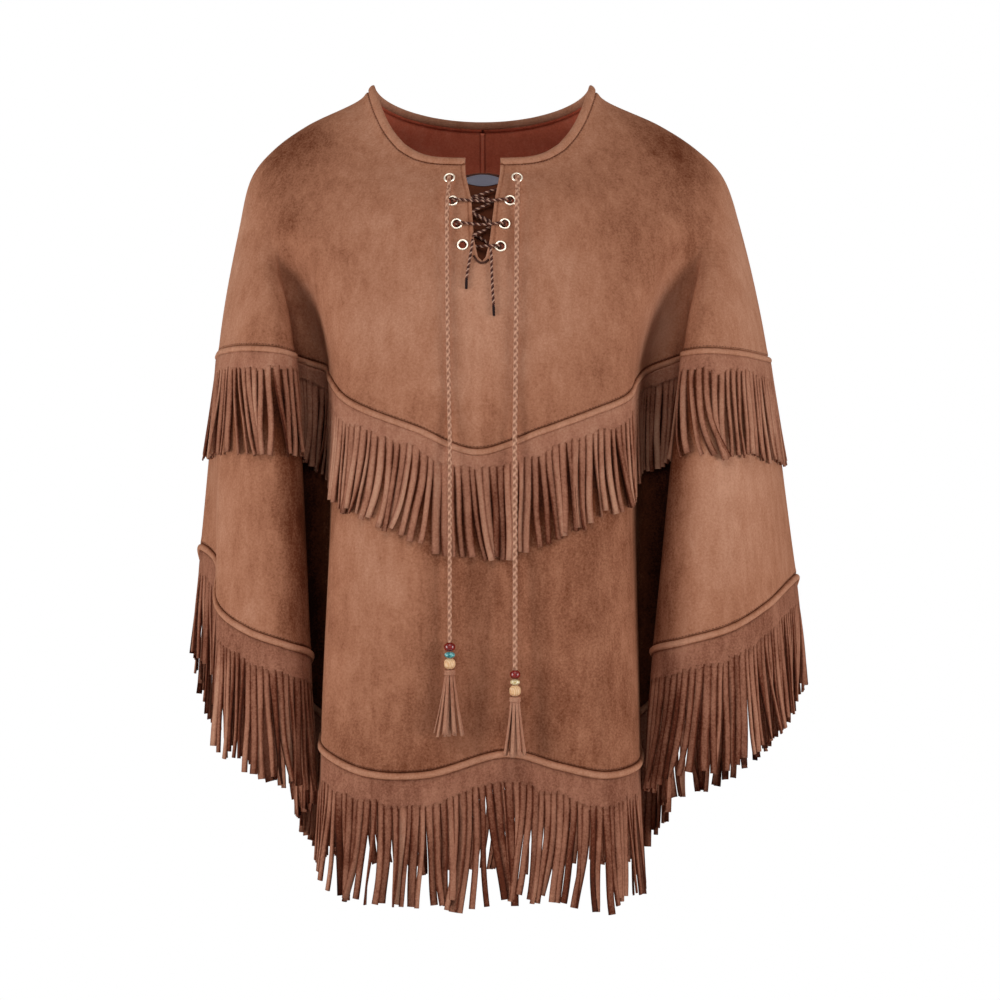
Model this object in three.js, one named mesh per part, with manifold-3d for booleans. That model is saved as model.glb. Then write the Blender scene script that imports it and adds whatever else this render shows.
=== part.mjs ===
// A fringed suede poncho, shown as it hangs on a wearer with arms at the sides.
// The front is one yoke panel and one skirt panel, the back has two of each with a centre back seam.
// A corded piping runs round the yoke seam and round the hem, and each carries a cut suede fringe.
// The neck is bound, and its front slit is laced through eyelets over a tongue. Two braided
// drawcords hang from the top eyelets and end in beads and tassels.
// Millimetres, +Z up, the front faces -Y, +X is the wearer's left.
// The origin is the middle of the neck opening, level with the tops of the shoulders.
import * as THREE from "three";
import { mergeVertices } from "three/addons/utils/BufferGeometryUtils.js";
import Module from "manifold-3d";

const wasm = await Module();
wasm.setup();

// Driving dimensions
const CLOTH = 2; // thickness of the suede
const GAP = 0.3; // left between pieces that touch
const PIPING = { radius: 3.2, lift: 0.6, clear: 0.6 }; // it stands lift out of the cloth's middle
const BINDING = { width: 8, thick: 3.6 };
// The rows of extra say how many millimetres longer a fringe is at a place round the garment, in
// fold lines from the centre front. The hem's is cut level in front, and short at both sides.
const YOKE_FRINGE = {
  header: 18, length: 98, thick: 1.4, pitch: 14, fill: 0.66, restsAt: [0.25, 0.5, 0.8],
  extra: [[-3, 0], [0, 3], [3, 0]],
};
const HEM_FRINGE = {
  header: 36, length: 123, thick: 1.5, pitch: 14.5, fill: 0.66, restsAt: [],
  extra: [
    [-17, 0], [-15, -12], [-13.4, -24], [-12.2, -10], [-11, 0], [-5, 0], [-3.2, -8], [-2, -5],
    [-1.2, -2.5], [-0.5, 6], [0, 14], [0.4, 9], [1, -7], [1.4, -9], [1.9, -3], [2.4, -4],
    [3, -14], [3.6, -14], [5, 0], [11, 0], [12.4, -14], [13.6, -26], [15, -14], [17, 0],
  ],
};
// How strands hang: they sway to both sides, are uneven in length, and stand off the cloth.
const STRAND = {
  sway: 2.4, lilt: 0.8, uneven: 4, standOff: 2.6, clear: 0.6, tipHalf: 0.43, leastHeader: 6,
};
const EYELET = { hole: 3.3, flange: 5.4, wall: 0.7, cut: 4.9, clear: 0.6, sides: 8 };
const DRAWCORD = { radius: 2.2, sides: 8, steps: 22 };
const LACE = { radius: 1.3, sides: 8 };
const HELD_LACE_SIDES = 6;
const TONGUE_THICK = 1.4;
const RIBBON_THICK = 0.6;
const LEAST_SLOPE = 0.3; // between a fold line and the fall of the cloth that crosses it

const COLOURS = {
  suede: 0xa5745a,
  lace: 0x3c2420,
  tongue: 0x2a1a18,
  ribbon: 0x7f7f8c,
  eyelet: 0xdcd0bc,
  redBead: 0x7c1416,
  turquoiseBead: 0x5fb0b4,
  paleBead: 0xe8d9b0,
  woodBead: 0xe2b98a,
};

// Rings of cloth on the figure, from the neck down over the shoulders to the upper arms. shift
// moves both sides to the wearer's left, and fold is the share of the drape's folds that shows.
const SECTIONS = [
  {
    name: "neck", halfWidth: 101.5, front: 84, back: 74,
    side: -3, ahead: 73, behind: 22.5, shift: 0, fold: 0,
  },
  {
    name: "collar", halfWidth: 111, front: 90, back: 80,
    side: 7.5, ahead: 82, behind: 36, shift: 0, fold: 0,
  },
  {
    name: "slope", halfWidth: 161.5, front: 105, back: 94,
    side: 32, ahead: 108, behind: 66, shift: 1.5, fold: 0,
  },
  {
    name: "ridge", halfWidth: 193.5, front: 114, back: 103,
    side: 54, ahead: 132, behind: 96, shift: 3, fold: 0,
  },
  {
    name: "shoulder", halfWidth: 215, front: 122, back: 110,
    side: 78, ahead: 158, behind: 128, shift: 5, fold: 0,
  },
  {
    name: "arm", halfWidth: 230.5, front: 134, back: 120,
    side: 127, ahead: 208, behind: 190, shift: 7.5, fold: 0.25,
  },
];
const SEAM_RING = { halfWidth: 254, front: 150, back: 134, side: 245, ahead: 334, behind: 328, shift: 10 };

// Crests and gullies of the drape, counted from the centre front round the wearer's right side.
// turn is the direction in degrees that each leaves the neck in. Each crosses the yoke seam at
// yoke and ends in the hem at hem.
const FOLDS = [
  { name: "centre front", turn: 0, yoke: [-3, -152, -334], hem: [21, -142, -597] },
  { name: "right soft crest", turn: 14, yoke: [-57, -153, -314], hem: [-48, -158, -614] },
  { name: "right crest", turn: 26, yoke: [-99, -141, -298], hem: [-100, -162, -612] },
  { name: "right corner", turn: 35, yoke: [-121, -119, -285], hem: [-136, -132, -597] },
  { name: "right flank", turn: 43, yoke: [-133, -88, -269], hem: [-141, -92, -586] },
  { name: "right wall", turn: 48, yoke: [-141, -50, -256], hem: [-141, -10, -576] },
  { name: "right gully", turn: 53, yoke: [-158, -44, -251], hem: [-158, -12, -562] },
  { name: "right inner wall", turn: 58, yoke: [-171, -64, -248], hem: [-170, -52, -540] },
  { name: "right lobe edge", turn: 63, yoke: [-168, -92, -247], hem: [-152, -98, -513] },
  { name: "right lobe front", turn: 69, yoke: [-184, -107, -243], hem: [-172, -124, -503] },
  { name: "right lobe crest", turn: 77, yoke: [-210, -93, -241], hem: [-205, -121, -491] },
  { name: "right lobe corner", turn: 85, yoke: [-232, -58, -242], hem: [-234, -90, -470] },
  { name: "right notch", turn: 92, yoke: [-240, -20, -245], hem: [-238, -42, -433] },
  { name: "right side", turn: 99, yoke: [-242, 18, -244], hem: [-258, 2, -419] },
  { name: "right back notch", turn: 106, yoke: [-238, 48, -245], hem: [-258, 46, -440] },
  { name: "right back corner", turn: 113, yoke: [-222, 80, -247], hem: [-246, 88, -480] },
  { name: "right back lobe", turn: 121, yoke: [-197, 99, -249], hem: [-212, 116, -518] },
  { name: "right back edge", turn: 129, yoke: [-170, 100, -252], hem: [-174, 120, -545] },
  { name: "right back gully", turn: 139, yoke: [-149, 62, -259], hem: [-152, 43, -569] },
  { name: "right back flank", turn: 149, yoke: [-127, 94, -272], hem: [-137, 106, -590] },
  { name: "right back shoulder", turn: 154, yoke: [-112, 113, -283], hem: [-126, 138, -604] },
  { name: "right back crest", turn: 162, yoke: [-84, 127, -298], hem: [-92, 159, -614] },
  { name: "right back soft crest", turn: 171, yoke: [-44, 133, -314], hem: [-46, 153, -616] },
  { name: "centre back", turn: 180, yoke: [2, 130, -328], hem: [4, 140, -612] },
  { name: "left back soft crest", turn: 189, yoke: [46, 133, -316], hem: [54, 155, -618] },
  { name: "left back crest", turn: 198, yoke: [86, 126, -300], hem: [98, 158, -614] },
  { name: "left back shoulder", turn: 206, yoke: [116, 112, -285], hem: [124, 137, -606] },
  { name: "left back flank", turn: 211, yoke: [132, 93, -274], hem: [134, 104, -598] },
  { name: "left back gully", turn: 221, yoke: [157, 61, -260], hem: [146, 42, -570] },
  { name: "left back edge", turn: 231, yoke: [182, 99, -253], hem: [172, 118, -551] },
  { name: "left back lobe", turn: 239, yoke: [210, 100, -250], hem: [212, 120, -540] },
  { name: "left back corner", turn: 247, yoke: [238, 80, -248], hem: [252, 92, -512] },
  { name: "left back notch", turn: 254, yoke: [257, 48, -247], hem: [280, 52, -478] },
  { name: "left side", turn: 261, yoke: [261, 18, -247], hem: [289, 5, -448] },
  { name: "left notch", turn: 268, yoke: [261, -19, -248], hem: [277, -42, -452] },
  { name: "left lobe corner", turn: 275, yoke: [248, -58, -247], hem: [253, -88, -470] },
  { name: "left lobe crest", turn: 283, yoke: [226, -93, -245], hem: [217, -122, -489] },
  { name: "left lobe front", turn: 291, yoke: [199, -108, -244], hem: [179, -124, -500] },
  { name: "left lobe edge", turn: 297, yoke: [181, -95, -246], hem: [153, -98, -509] },
  { name: "left inner wall", turn: 302, yoke: [185, -68, -247], hem: [172, -54, -530] },
  { name: "left gully", turn: 307, yoke: [173, -46, -250], hem: [161, -11, -556] },
  { name: "left wall", turn: 312, yoke: [152, -46, -257], hem: [139, -10, -575] },
  { name: "left flank", turn: 317, yoke: [137, -89, -270], hem: [141, -92, -604] },
  { name: "left corner", turn: 325, yoke: [127, -120, -286], hem: [132, -134, -611] },
  { name: "left crest", turn: 334, yoke: [96, -142, -300], hem: [106, -163, -614] },
  { name: "left soft crest", turn: 346, yoke: [53, -153, -316], hem: [69, -156, -607] },
];
const RIBS = FOLDS.length;
const foldNumber = (name) => FOLDS.findIndex((fold) => fold.name === name);
const wrapped = (i) => ((i % RIBS) + RIBS) % RIBS;

const vec = (x, y, z) => new THREE.Vector3(x, y, z);
const mix = (a, b, share) => a.clone().lerp(b, share);
const eased = (c) => c * c * (3 - 2 * c);

// A point of a figure section in the direction turn. The drop grows to the front and to the back.
function sectionPoint(section, turn) {
  const angle = THREE.MathUtils.degToRad(turn);
  const ahead = Math.cos(angle);
  const depth = ahead > 0 ? section.front : section.back;
  const mostDrop = ahead > 0 ? section.ahead : section.behind;
  const share = ahead > 0 ? eased(ahead) : Math.pow(-ahead, 1.15);
  const drop = section.side + (mostDrop - section.side) * share;
  const side = -Math.sin(angle);
  return vec(section.shift * Math.abs(side) + section.halfWidth * side, -depth * ahead, -drop);
}

// Cubic through b and c, with slopes from a and d and the knots' spacing, at share of the way.
function smoothBetween(a, b, c, d, gaps, share) {
  const [before, here, after] = gaps;
  const slopeB = c.clone().sub(b).multiplyScalar(before / here)
    .add(b.clone().sub(a).multiplyScalar(here / before)).divideScalar(before + here);
  const slopeC = d.clone().sub(c).multiplyScalar(here / after)
    .add(c.clone().sub(b).multiplyScalar(after / here)).divideScalar(here + after);
  const s2 = share * share;
  const s3 = s2 * share;
  return b.clone().multiplyScalar(2 * s3 - 3 * s2 + 1)
    .addScaledVector(slopeB, here * (s3 - 2 * s2 + share))
    .addScaledVector(c, 3 * s2 - 2 * s3)
    .addScaledVector(slopeC, here * (s3 - s2));
}

// Each fold's own line down the cloth: figure sections, yoke seam, hem, and past both ends.
const STATIONS = FOLDS.map((fold) => {
  const folded = vec(...fold.yoke).sub(sectionPoint(SEAM_RING, fold.turn));
  const points = SECTIONS.map((section) =>
    sectionPoint(section, fold.turn).addScaledVector(folded, section.fold));
  points.push(vec(...fold.yoke), vec(...fold.hem));
  const last = points.length - 1;
  const before = mix(points[0], points[1], -1);
  const after = mix(points[last - 1], points[last], 2);
  return [before, ...points, after];
});
const YOKE_STATION = SECTIONS.length; // number of the yoke seam among a line's stations
const STEPS = 24;

function densePart(stations, from, to) {
  const points = [];
  for (let k = from; k < to; k += 1) {
    const near = stations.slice(k, k + 4);
    const gaps = [0, 1, 2].map((n) => Math.sqrt(near[n].distanceTo(near[n + 1])));
    for (let s = 0; s < STEPS; s += 1) points.push(smoothBetween(...near, gaps, s / STEPS));
  }
  points.push(stations[to + 1].clone());
  const along = [0];
  for (let k = 1; k < points.length; k += 1) {
    along.push(along[k - 1] + points[k].distanceTo(points[k - 1]));
  }
  return { points, along };
}

function partAt({ points, along }, share) {
  const at = Math.min(Math.max(share, 0), 1) * along[along.length - 1];
  let k = 1;
  while (k < along.length - 1 && along[k] < at) k += 1;
  return mix(points[k - 1], points[k], (at - along[k - 1]) / (along[k] - along[k - 1]));
}

const YOKE_LINES = STATIONS.map((stations) => densePart(stations, 0, YOKE_STATION));
const SKIRT_LINES = STATIONS.map((stations) => densePart(stations, YOKE_STATION, YOKE_STATION + 1));

// down runs from 0 at the neck to 1 at the yoke seam and 2 at the hem.
function ribPoint(rib, down) {
  const i = wrapped(rib);
  return down <= 1 ? partAt(YOKE_LINES[i], down) : partAt(SKIRT_LINES[i], down - 1);
}

// Spacing of the fold lines round the garment, the same at every height.
const RIB_GAPS = FOLDS.map((_, i) => {
  const heights = [1, 1.5, 2];
  const spans = heights.map((down) => ribPoint(i, down).distanceTo(ribPoint(i + 1, down)));
  return Math.sqrt(spans.reduce((sum, span) => sum + span, 0) / heights.length);
});

// A point of the cloth. around counts fold lines, so 0 is the centre front.
function clothPoint(around, down) {
  const i = Math.floor(around);
  const near = [-1, 0, 1, 2].map((n) => ribPoint(i + n, down));
  const gaps = [-1, 0, 1].map((n) => RIB_GAPS[wrapped(i + n)]);
  return smoothBetween(...near, gaps, around - i);
}

const NUDGE = 0.02;
function clothFrame(around, down) {
  const here = clothPoint(around, down);
  const high = clothPoint(around, Math.max(down - NUDGE, 0));
  const low = clothPoint(around, Math.min(down + NUDGE, 2));
  const across = clothPoint(around + NUDGE, down).sub(clothPoint(around - NUDGE, down)).normalize();
  const run = low.sub(high).normalize(); // along the fold lines
  const out = across.clone().cross(run).normalize();
  return { here, across, run, fall: out.clone().cross(across), out };
}

function lengthDown(around, from) {
  let total = 0;
  for (let k = 0; k < 12; k += 1) {
    total += clothPoint(around, from + k / 12).distanceTo(clothPoint(around, from + (k + 1) / 12));
  }
  return total;
}

// How far along the fold lines lies a place that is so far from a seam, measured square to it.
function alongRun(around, down, square) {
  const { run, fall } = clothFrame(around, down);
  return square / Math.max(run.dot(fall), LEAST_SLOPE);
}

// A point of the skirt so many millimetres under the yoke seam, standing out from the cloth.
function onSkirt(around, below, out) {
  const frame = clothFrame(around, 1 + below / lengthDown(around, 1));
  return frame.here.addScaledVector(frame.out, out);
}

// Below the hem the suede turns from the cloth's slope to hang plumb within this length.
const TURN_PLUMB = 70;
function underHem(around, below, out) {
  const frame = clothFrame(around, 2);
  const turning = Math.min(below, TURN_PLUMB);
  const plumb = (turning * turning) / (2 * TURN_PLUMB) + (below - turning);
  return frame.here.addScaledVector(frame.run, below - plumb).addScaledVector(vec(0, 0, -1), plumb)
    .addScaledVector(frame.out, out);
}

// Columns of a panel between two fold lines, with half a seam gap left at both ends.
const COLUMNS = 2; // steps between neighbouring fold lines
function columnsBetween(first, last) {
  const count = (last - first) * COLUMNS;
  const columns = Array.from({ length: count + 1 }, (_, k) => first + k / COLUMNS);
  const span = (around) => clothPoint(around + NUDGE, 1.5).distanceTo(clothPoint(around - NUDGE, 1.5));
  columns[0] += (GAP * NUDGE) / span(first);
  columns[count] -= (GAP * NUDGE) / span(last);
  return columns;
}
const ALL_ROUND = Array.from({ length: RIBS * COLUMNS }, (_, k) => k / COLUMNS);
const RIGHT_SEAM = foldNumber("right side");
const CENTRE_BACK = foldNumber("centre back");
const LEFT_SEAM = foldNumber("left side");
const PANELS = [
  { name: "front", columns: columnsBetween(LEFT_SEAM - RIBS, RIGHT_SEAM) },
  { name: "back_right", columns: columnsBetween(RIGHT_SEAM, CENTRE_BACK) },
  { name: "back_left", columns: columnsBetween(CENTRE_BACK, LEFT_SEAM) },
];

// Rows of the yoke and skirt panels, with the room for the binding and the pipings left free.
const EDGE = PIPING.radius + PIPING.clear;
const YOKE_ROWS = [0, 0.19, 0.32, 0.42, 0.54, 0.76, 1];
const SKIRT_ROWS = [0, 0.33, 0.66, 1];
function yokePlace(around, row, out) {
  const length = lengthDown(around, 0);
  const top = alongRun(around, 0, BINDING.width / 2 + GAP) / length;
  const foot = 1 - alongRun(around, 1, EDGE) / length;
  const frame = clothFrame(around, top + row * (foot - top));
  return frame.here.addScaledVector(frame.out, out);
}
function skirtPlace(around, row, out) {
  const top = alongRun(around, 1, EDGE);
  const foot = lengthDown(around, 1) - alongRun(around, 2, EDGE);
  return onSkirt(around, top + row * (foot - top), out);
}

function geometryOf(points, faces) {
  const geometry = new THREE.BufferGeometry();
  const places = points.flatMap((point) => point.toArray());
  geometry.setAttribute("position", new THREE.Float32BufferAttribute(places, 3));
  geometry.setIndex(faces.flat());
  return geometry;
}

// A closed wall between two grids of points, each a list of rows, with the outer one first.
function wallGeometry(outer, inner) {
  const rows = outer.length;
  const columns = outer[0].length;
  const points = [...outer.flat(), ...inner.flat()];
  const at = (layer, row, column) => layer * rows * columns + row * columns + column;
  const faces = [];
  const quad = (a, b, c, d) => faces.push([a, b, c], [a, c, d]);
  const [foot, end] = [rows - 1, columns - 1];
  for (let r = 0; r < foot; r += 1) {
    for (let c = 0; c < end; c += 1) {
      quad(at(0, r, c), at(0, r, c + 1), at(0, r + 1, c + 1), at(0, r + 1, c));
      quad(at(1, r, c), at(1, r + 1, c), at(1, r + 1, c + 1), at(1, r, c + 1));
    }
    quad(at(0, r, 0), at(0, r + 1, 0), at(1, r + 1, 0), at(1, r, 0));
    quad(at(0, r, end), at(1, r, end), at(1, r + 1, end), at(0, r + 1, end));
  }
  for (let c = 0; c < end; c += 1) {
    quad(at(0, 0, c), at(1, 0, c), at(1, 0, c + 1), at(0, 0, c + 1));
    quad(at(0, foot, c), at(0, foot, c + 1), at(1, foot, c + 1), at(1, foot, c));
  }
  return geometryOf(points, faces);
}

function panelWall(columns, rows, place) {
  const grid = (out) => rows.map((row) => columns.map((around) => place(around, row, out)));
  return wallGeometry(grid(CLOTH / 2), grid(-CLOTH / 2));
}

// A solid rod through rings of points, closed on itself or capped at both ends.
function rodGeometry(rings, closed) {
  const sides = rings[0].length;
  const faces = [];
  for (let r = 0; r < (closed ? rings.length : rings.length - 1); r += 1) {
    const next = (r + 1) % rings.length;
    for (let s = 0; s < sides; s += 1) {
      const t = (s + 1) % sides;
      const [a, b, c, d] = [r * sides + s, r * sides + t, next * sides + t, next * sides + s];
      faces.push([a, b, c], [a, c, d]);
    }
  }
  const last = (rings.length - 1) * sides;
  for (let s = 1; !closed && s + 1 < sides; s += 1) {
    faces.push([0, s + 1, s], [last, last + s, last + s + 1]);
  }
  return geometryOf(rings.flat(), faces);
}

// The ring of a piping or binding round a place on the cloth, as an ellipse with few sides.
function sectionRound(frame, halfOut, halfDown, lift, sides) {
  return Array.from({ length: sides }, (_, k) => {
    const angle = ((k + 0.5) / sides) * 2 * Math.PI;
    return frame.here.clone().addScaledVector(frame.out, lift + halfOut * Math.cos(angle))
      .addScaledVector(frame.fall, -halfDown * Math.sin(angle));
  });
}

// A rod of round rings along hand-placed points, each with its own radius.
function rodAlong(points, radii, sides) {
  let side = vec(1, 0.3, 0.2);
  const rings = points.map((point, k) => {
    const back = point.clone().sub(points[Math.max(k - 1, 0)]).normalize();
    const ahead = points[Math.min(k + 1, points.length - 1)].clone().sub(point).normalize();
    const way = back.add(ahead).normalize();
    side = side.clone().addScaledVector(way, -side.dot(way)).normalize();
    const up = way.clone().cross(side);
    return Array.from({ length: sides }, (_, s) => {
      const angle = (s / sides) * 2 * Math.PI;
      return point.clone().addScaledVector(side, radii[k] * Math.cos(angle))
        .addScaledVector(up, radii[k] * Math.sin(angle));
    });
  });
  return rodGeometry(rings, false);
}

// A free cord: its round section drawn along a smooth route.
function freeCord(route, radius, sides, steps) {
  const section = new THREE.Shape(Array.from({ length: sides }, (_, s) => {
    const angle = (s / sides) * 2 * Math.PI;
    return new THREE.Vector2(radius * Math.cos(angle), radius * Math.sin(angle));
  }));
  const extrudePath = new THREE.CatmullRomCurve3(route, false, "centripetal");
  return new THREE.ExtrudeGeometry(section, { steps, extrudePath });
}

// The manifold-3d solid of a closed geometry, and back.
function solidOf(geometry) {
  const bare = new THREE.BufferGeometry().setAttribute("position", geometry.getAttribute("position"));
  if (geometry.index) bare.setIndex(geometry.index);
  const merged = mergeVertices(bare, 1e-3);
  return new wasm.Manifold(new wasm.Mesh({
    numProp: 3,
    vertProperties: new Float32Array(merged.attributes.position.array),
    triVerts: new Uint32Array(merged.index.array),
  }));
}
function geometryFrom(solid) {
  const { vertProperties, triVerts } = solid.getMesh();
  const geometry = new THREE.BufferGeometry();
  geometry.setAttribute("position", new THREE.Float32BufferAttribute(vertProperties, 3));
  geometry.setIndex(Array.from(triVerts));
  return geometry;
}

const poncho = new THREE.Group();
function add(name, geometry, color, roughness = 0.95, metalness = 0) {
  const mesh = new THREE.Mesh(geometry, new THREE.MeshStandardMaterial({ color, roughness, metalness }));
  mesh.name = name;
  poncho.add(mesh);
}

// The facets of the front's middle surface, from the neck to the hem, for what lies on it.
function facetsOf(columns) {
  const rows = [
    ...YOKE_ROWS.map((row) => columns.map((around) => yokePlace(around, row, 0))),
    ...SKIRT_ROWS.map((row) => columns.map((around) => skirtPlace(around, row, 0))),
  ];
  const facets = [];
  for (let r = 0; r + 1 < rows.length; r += 1) {
    for (let c = 0; c + 1 < columns.length; c += 1) {
      const [a, b, d, e] = [rows[r][c], rows[r][c + 1], rows[r + 1][c + 1], rows[r + 1][c]];
      facets.push(new THREE.Triangle(a, b, d), new THREE.Triangle(a, d, e));
    }
  }
  return facets;
}
const FRONT_FACETS = facetsOf(PANELS[0].columns);

// The foremost place on the front with a given x and z, as seen from straight ahead.
function frontPlace(x, z) {
  const places = [];
  for (const facet of FRONT_FACETS) {
    const out = facet.getNormal(vec(0, 0, 0));
    if (out.y > -0.05) continue;
    const y = facet.a.y - (out.x * (x - facet.a.x) + out.z * (z - facet.a.z)) / out.y;
    const here = vec(x, y, z);
    if (facet.containsPoint(here)) places.push({ here, out });
  }
  return places.sort((one, other) => one.here.y - other.here.y)[0];
}
function overFront(x, z, lift) {
  const { here, out } = frontPlace(x, z);
  return here.clone().addScaledVector(out, lift);
}

// Turns a geometry made along +Y so that +Y points out of the cloth, and moves it there.
function standOnCloth(geometry, { here, out }) {
  geometry.applyQuaternion(new THREE.Quaternion().setFromUnitVectors(vec(0, 1, 0), out));
  geometry.translate(here.x, here.y, here.z);
  return geometry;
}

// Outline of the neck slit: the x of both its edges at a height.
const SLIT = [
  { z: -40, right: -15.5, left: 18.5 },
  { z: -86, right: -14.3, left: 16.6 },
  { z: -110, right: -9, left: 12 },
  { z: -146, right: -6.4, left: 7.7 },
  { z: -162, right: -2.9, left: 4.2 },
  { z: -165.5, right: 0, left: 2 },
];
function slitCutter() {
  const outline = new THREE.Shape([
    ...SLIT.map(({ right, z }) => new THREE.Vector2(right, z)),
    ...SLIT.toReversed().map(({ left, z }) => new THREE.Vector2(left, z)),
  ]);
  const cutter = new THREE.ExtrudeGeometry(outline, { depth: 160, bevelEnabled: false });
  cutter.rotateX(Math.PI / 2);
  cutter.translate(0, -20, 0);
  return cutter;
}

const EYELETS = [
  { name: "right_1", x: -28.3, z: -89.5 },
  { name: "right_2", x: -25.7, z: -111 },
  { name: "right_3", x: -21.7, z: -132 },
  { name: "right_4", x: -16.3, z: -151 },
  { name: "left_1", x: 31.6, z: -89 },
  { name: "left_2", x: 25.5, z: -110.6 },
  { name: "left_3", x: 20.7, z: -132 },
  { name: "left_4", x: 17, z: -152.3 },
];
const eyeletNamed = (name) => EYELETS.find((eyelet) => eyelet.name === name);

// Yoke and skirt panels. The yoke's front is cut for the slit and for the eyelets.
function cutFront(yoke) {
  const cutters = EYELETS.map(({ x, z }) =>
    standOnCloth(new THREE.CylinderGeometry(EYELET.cut, EYELET.cut, 12, 6), frontPlace(x, z)));
  let solid = solidOf(yoke);
  for (const cutter of [slitCutter(), ...cutters]) solid = solid.subtract(solidOf(cutter));
  return geometryFrom(solid);
}
for (const { name, columns } of PANELS) {
  const yoke = panelWall(columns, YOKE_ROWS, yokePlace);
  add("yoke_" + name, name === "front" ? cutFront(yoke) : yoke, COLOURS.suede);
  add("skirt_" + name, panelWall(columns, SKIRT_ROWS, skirtPlace), COLOURS.suede);
}

// Corded pipings round the yoke seam and the hem.
for (const [name, down] of [["yoke_piping", 1], ["hem_piping", 2]]) {
  const rings = ALL_ROUND.map((around) =>
    sectionRound(clothFrame(around, down), PIPING.radius, PIPING.radius, PIPING.lift, 5));
  add(name, rodGeometry(rings, true), COLOURS.suede);
}

// Neck binding, from one edge of the slit round the back of the neck to the other.
function neckBinding() {
  const aroundAt = (x) => {
    let [low, high] = [-3, 3];
    while (high - low > 1e-4) {
      const middle = (low + high) / 2;
      if (clothPoint(middle, 0).x > x) low = middle;
      else high = middle;
    }
    return low;
  };
  const [first, last] = [aroundAt(SLIT[0].right), RIBS + aroundAt(SLIT[0].left)];
  const inner = FOLDS.map((_, i) => i + 1).filter((around) => around > first + 0.3 && around < last - 0.3);
  const rings = [first, ...inner, last].map((around) =>
    sectionRound(clothFrame(around, 0), BINDING.thick / 2, BINDING.width / 2, 0, 5));
  return rodGeometry(rings, false);
}
add("neck_binding", neckBinding(), COLOURS.suede);

// The flat facets of a wall between its columns, so that what is sewn on lies against them.
function onFacets(columns, place) {
  return (around, ...rest) => {
    let c = 1;
    while (c < columns.length - 1 && columns[c] < around) c += 1;
    const share = (around - columns[c - 1]) / (columns[c] - columns[c - 1]);
    return mix(place(columns[c - 1], ...rest), place(columns[c], ...rest), share);
  };
}

// The flat facets of the skirt, so far below the yoke seam. Each four-sided field of the wall
// is two triangles, split from its upper first corner to its lower second one.
function onSkirtFacets(columns) {
  const top = columns.map((around) => alongRun(around, 1, EDGE));
  const span = columns.map((around, c) => lengthDown(around, 1) - alongRun(around, 2, EDGE) - top[c]);
  return (around, below, out) => {
    let c = 0;
    while (c < columns.length - 2 && columns[c + 1] < around) c += 1;
    const u = (around - columns[c]) / (columns[c + 1] - columns[c]);
    const row = (below - top[c] - u * (top[c + 1] - top[c])) / (span[c] + u * (span[c + 1] - span[c]));
    const r = Math.max(SKIRT_ROWS.findLastIndex((edge) => edge <= row), 0);
    const v = (row - SKIRT_ROWS[r]) / (SKIRT_ROWS[r + 1] - SKIRT_ROWS[r]);
    const corner = (right, low) => skirtPlace(columns[c + right], SKIRT_ROWS[r + low], out);
    const [first, far] = [corner(0, 0), corner(1, 1)];
    if (v <= u) {
      const next = corner(1, 0);
      return first.lerp(next, u).addScaledVector(far.sub(next), v);
    }
    const under = corner(0, 1);
    return first.lerp(under, v).addScaledVector(far.sub(under), u);
  };
}

// Where a fringe is cut: one or more strands on each facet, with a slit after each.
function fringeCuts(columns, down, { pitch, fill }) {
  const cuts = [];
  let owed = 0;
  for (let c = 0; c + 1 < columns.length; c += 1) {
    const [start, end] = [columns[c], columns[c + 1]];
    owed += clothPoint(start, down).distanceTo(clothPoint(end, down)) / pitch;
    const count = Math.round(owed);
    owed -= count;
    if (count === 0) cuts.push({ around: start, strand: false });
    for (let n = 0; n < count; n += 1) {
      const from = start + ((end - start) * n) / count;
      cuts.push({ around: from, strand: true });
      cuts.push({ around: from + ((end - start) * fill) / count, strand: false });
    }
  }
  cuts.push({ around: columns[columns.length - 1], strand: false });
  return cuts;
}

// The extra length at a place, on straight lines between the rows, and none beyond them.
function extraAt(rows, around) {
  const half = FOLDS.length / 2;
  const at = ((around + 3 * half) % FOLDS.length) - half;
  const next = rows.findIndex(([place]) => place > at);
  if (next <= 0) return 0;
  const [[start, from], [end, to]] = [rows[next - 1], rows[next]];
  return from + ((to - from) * (at - start)) / (end - start);
}

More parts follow.
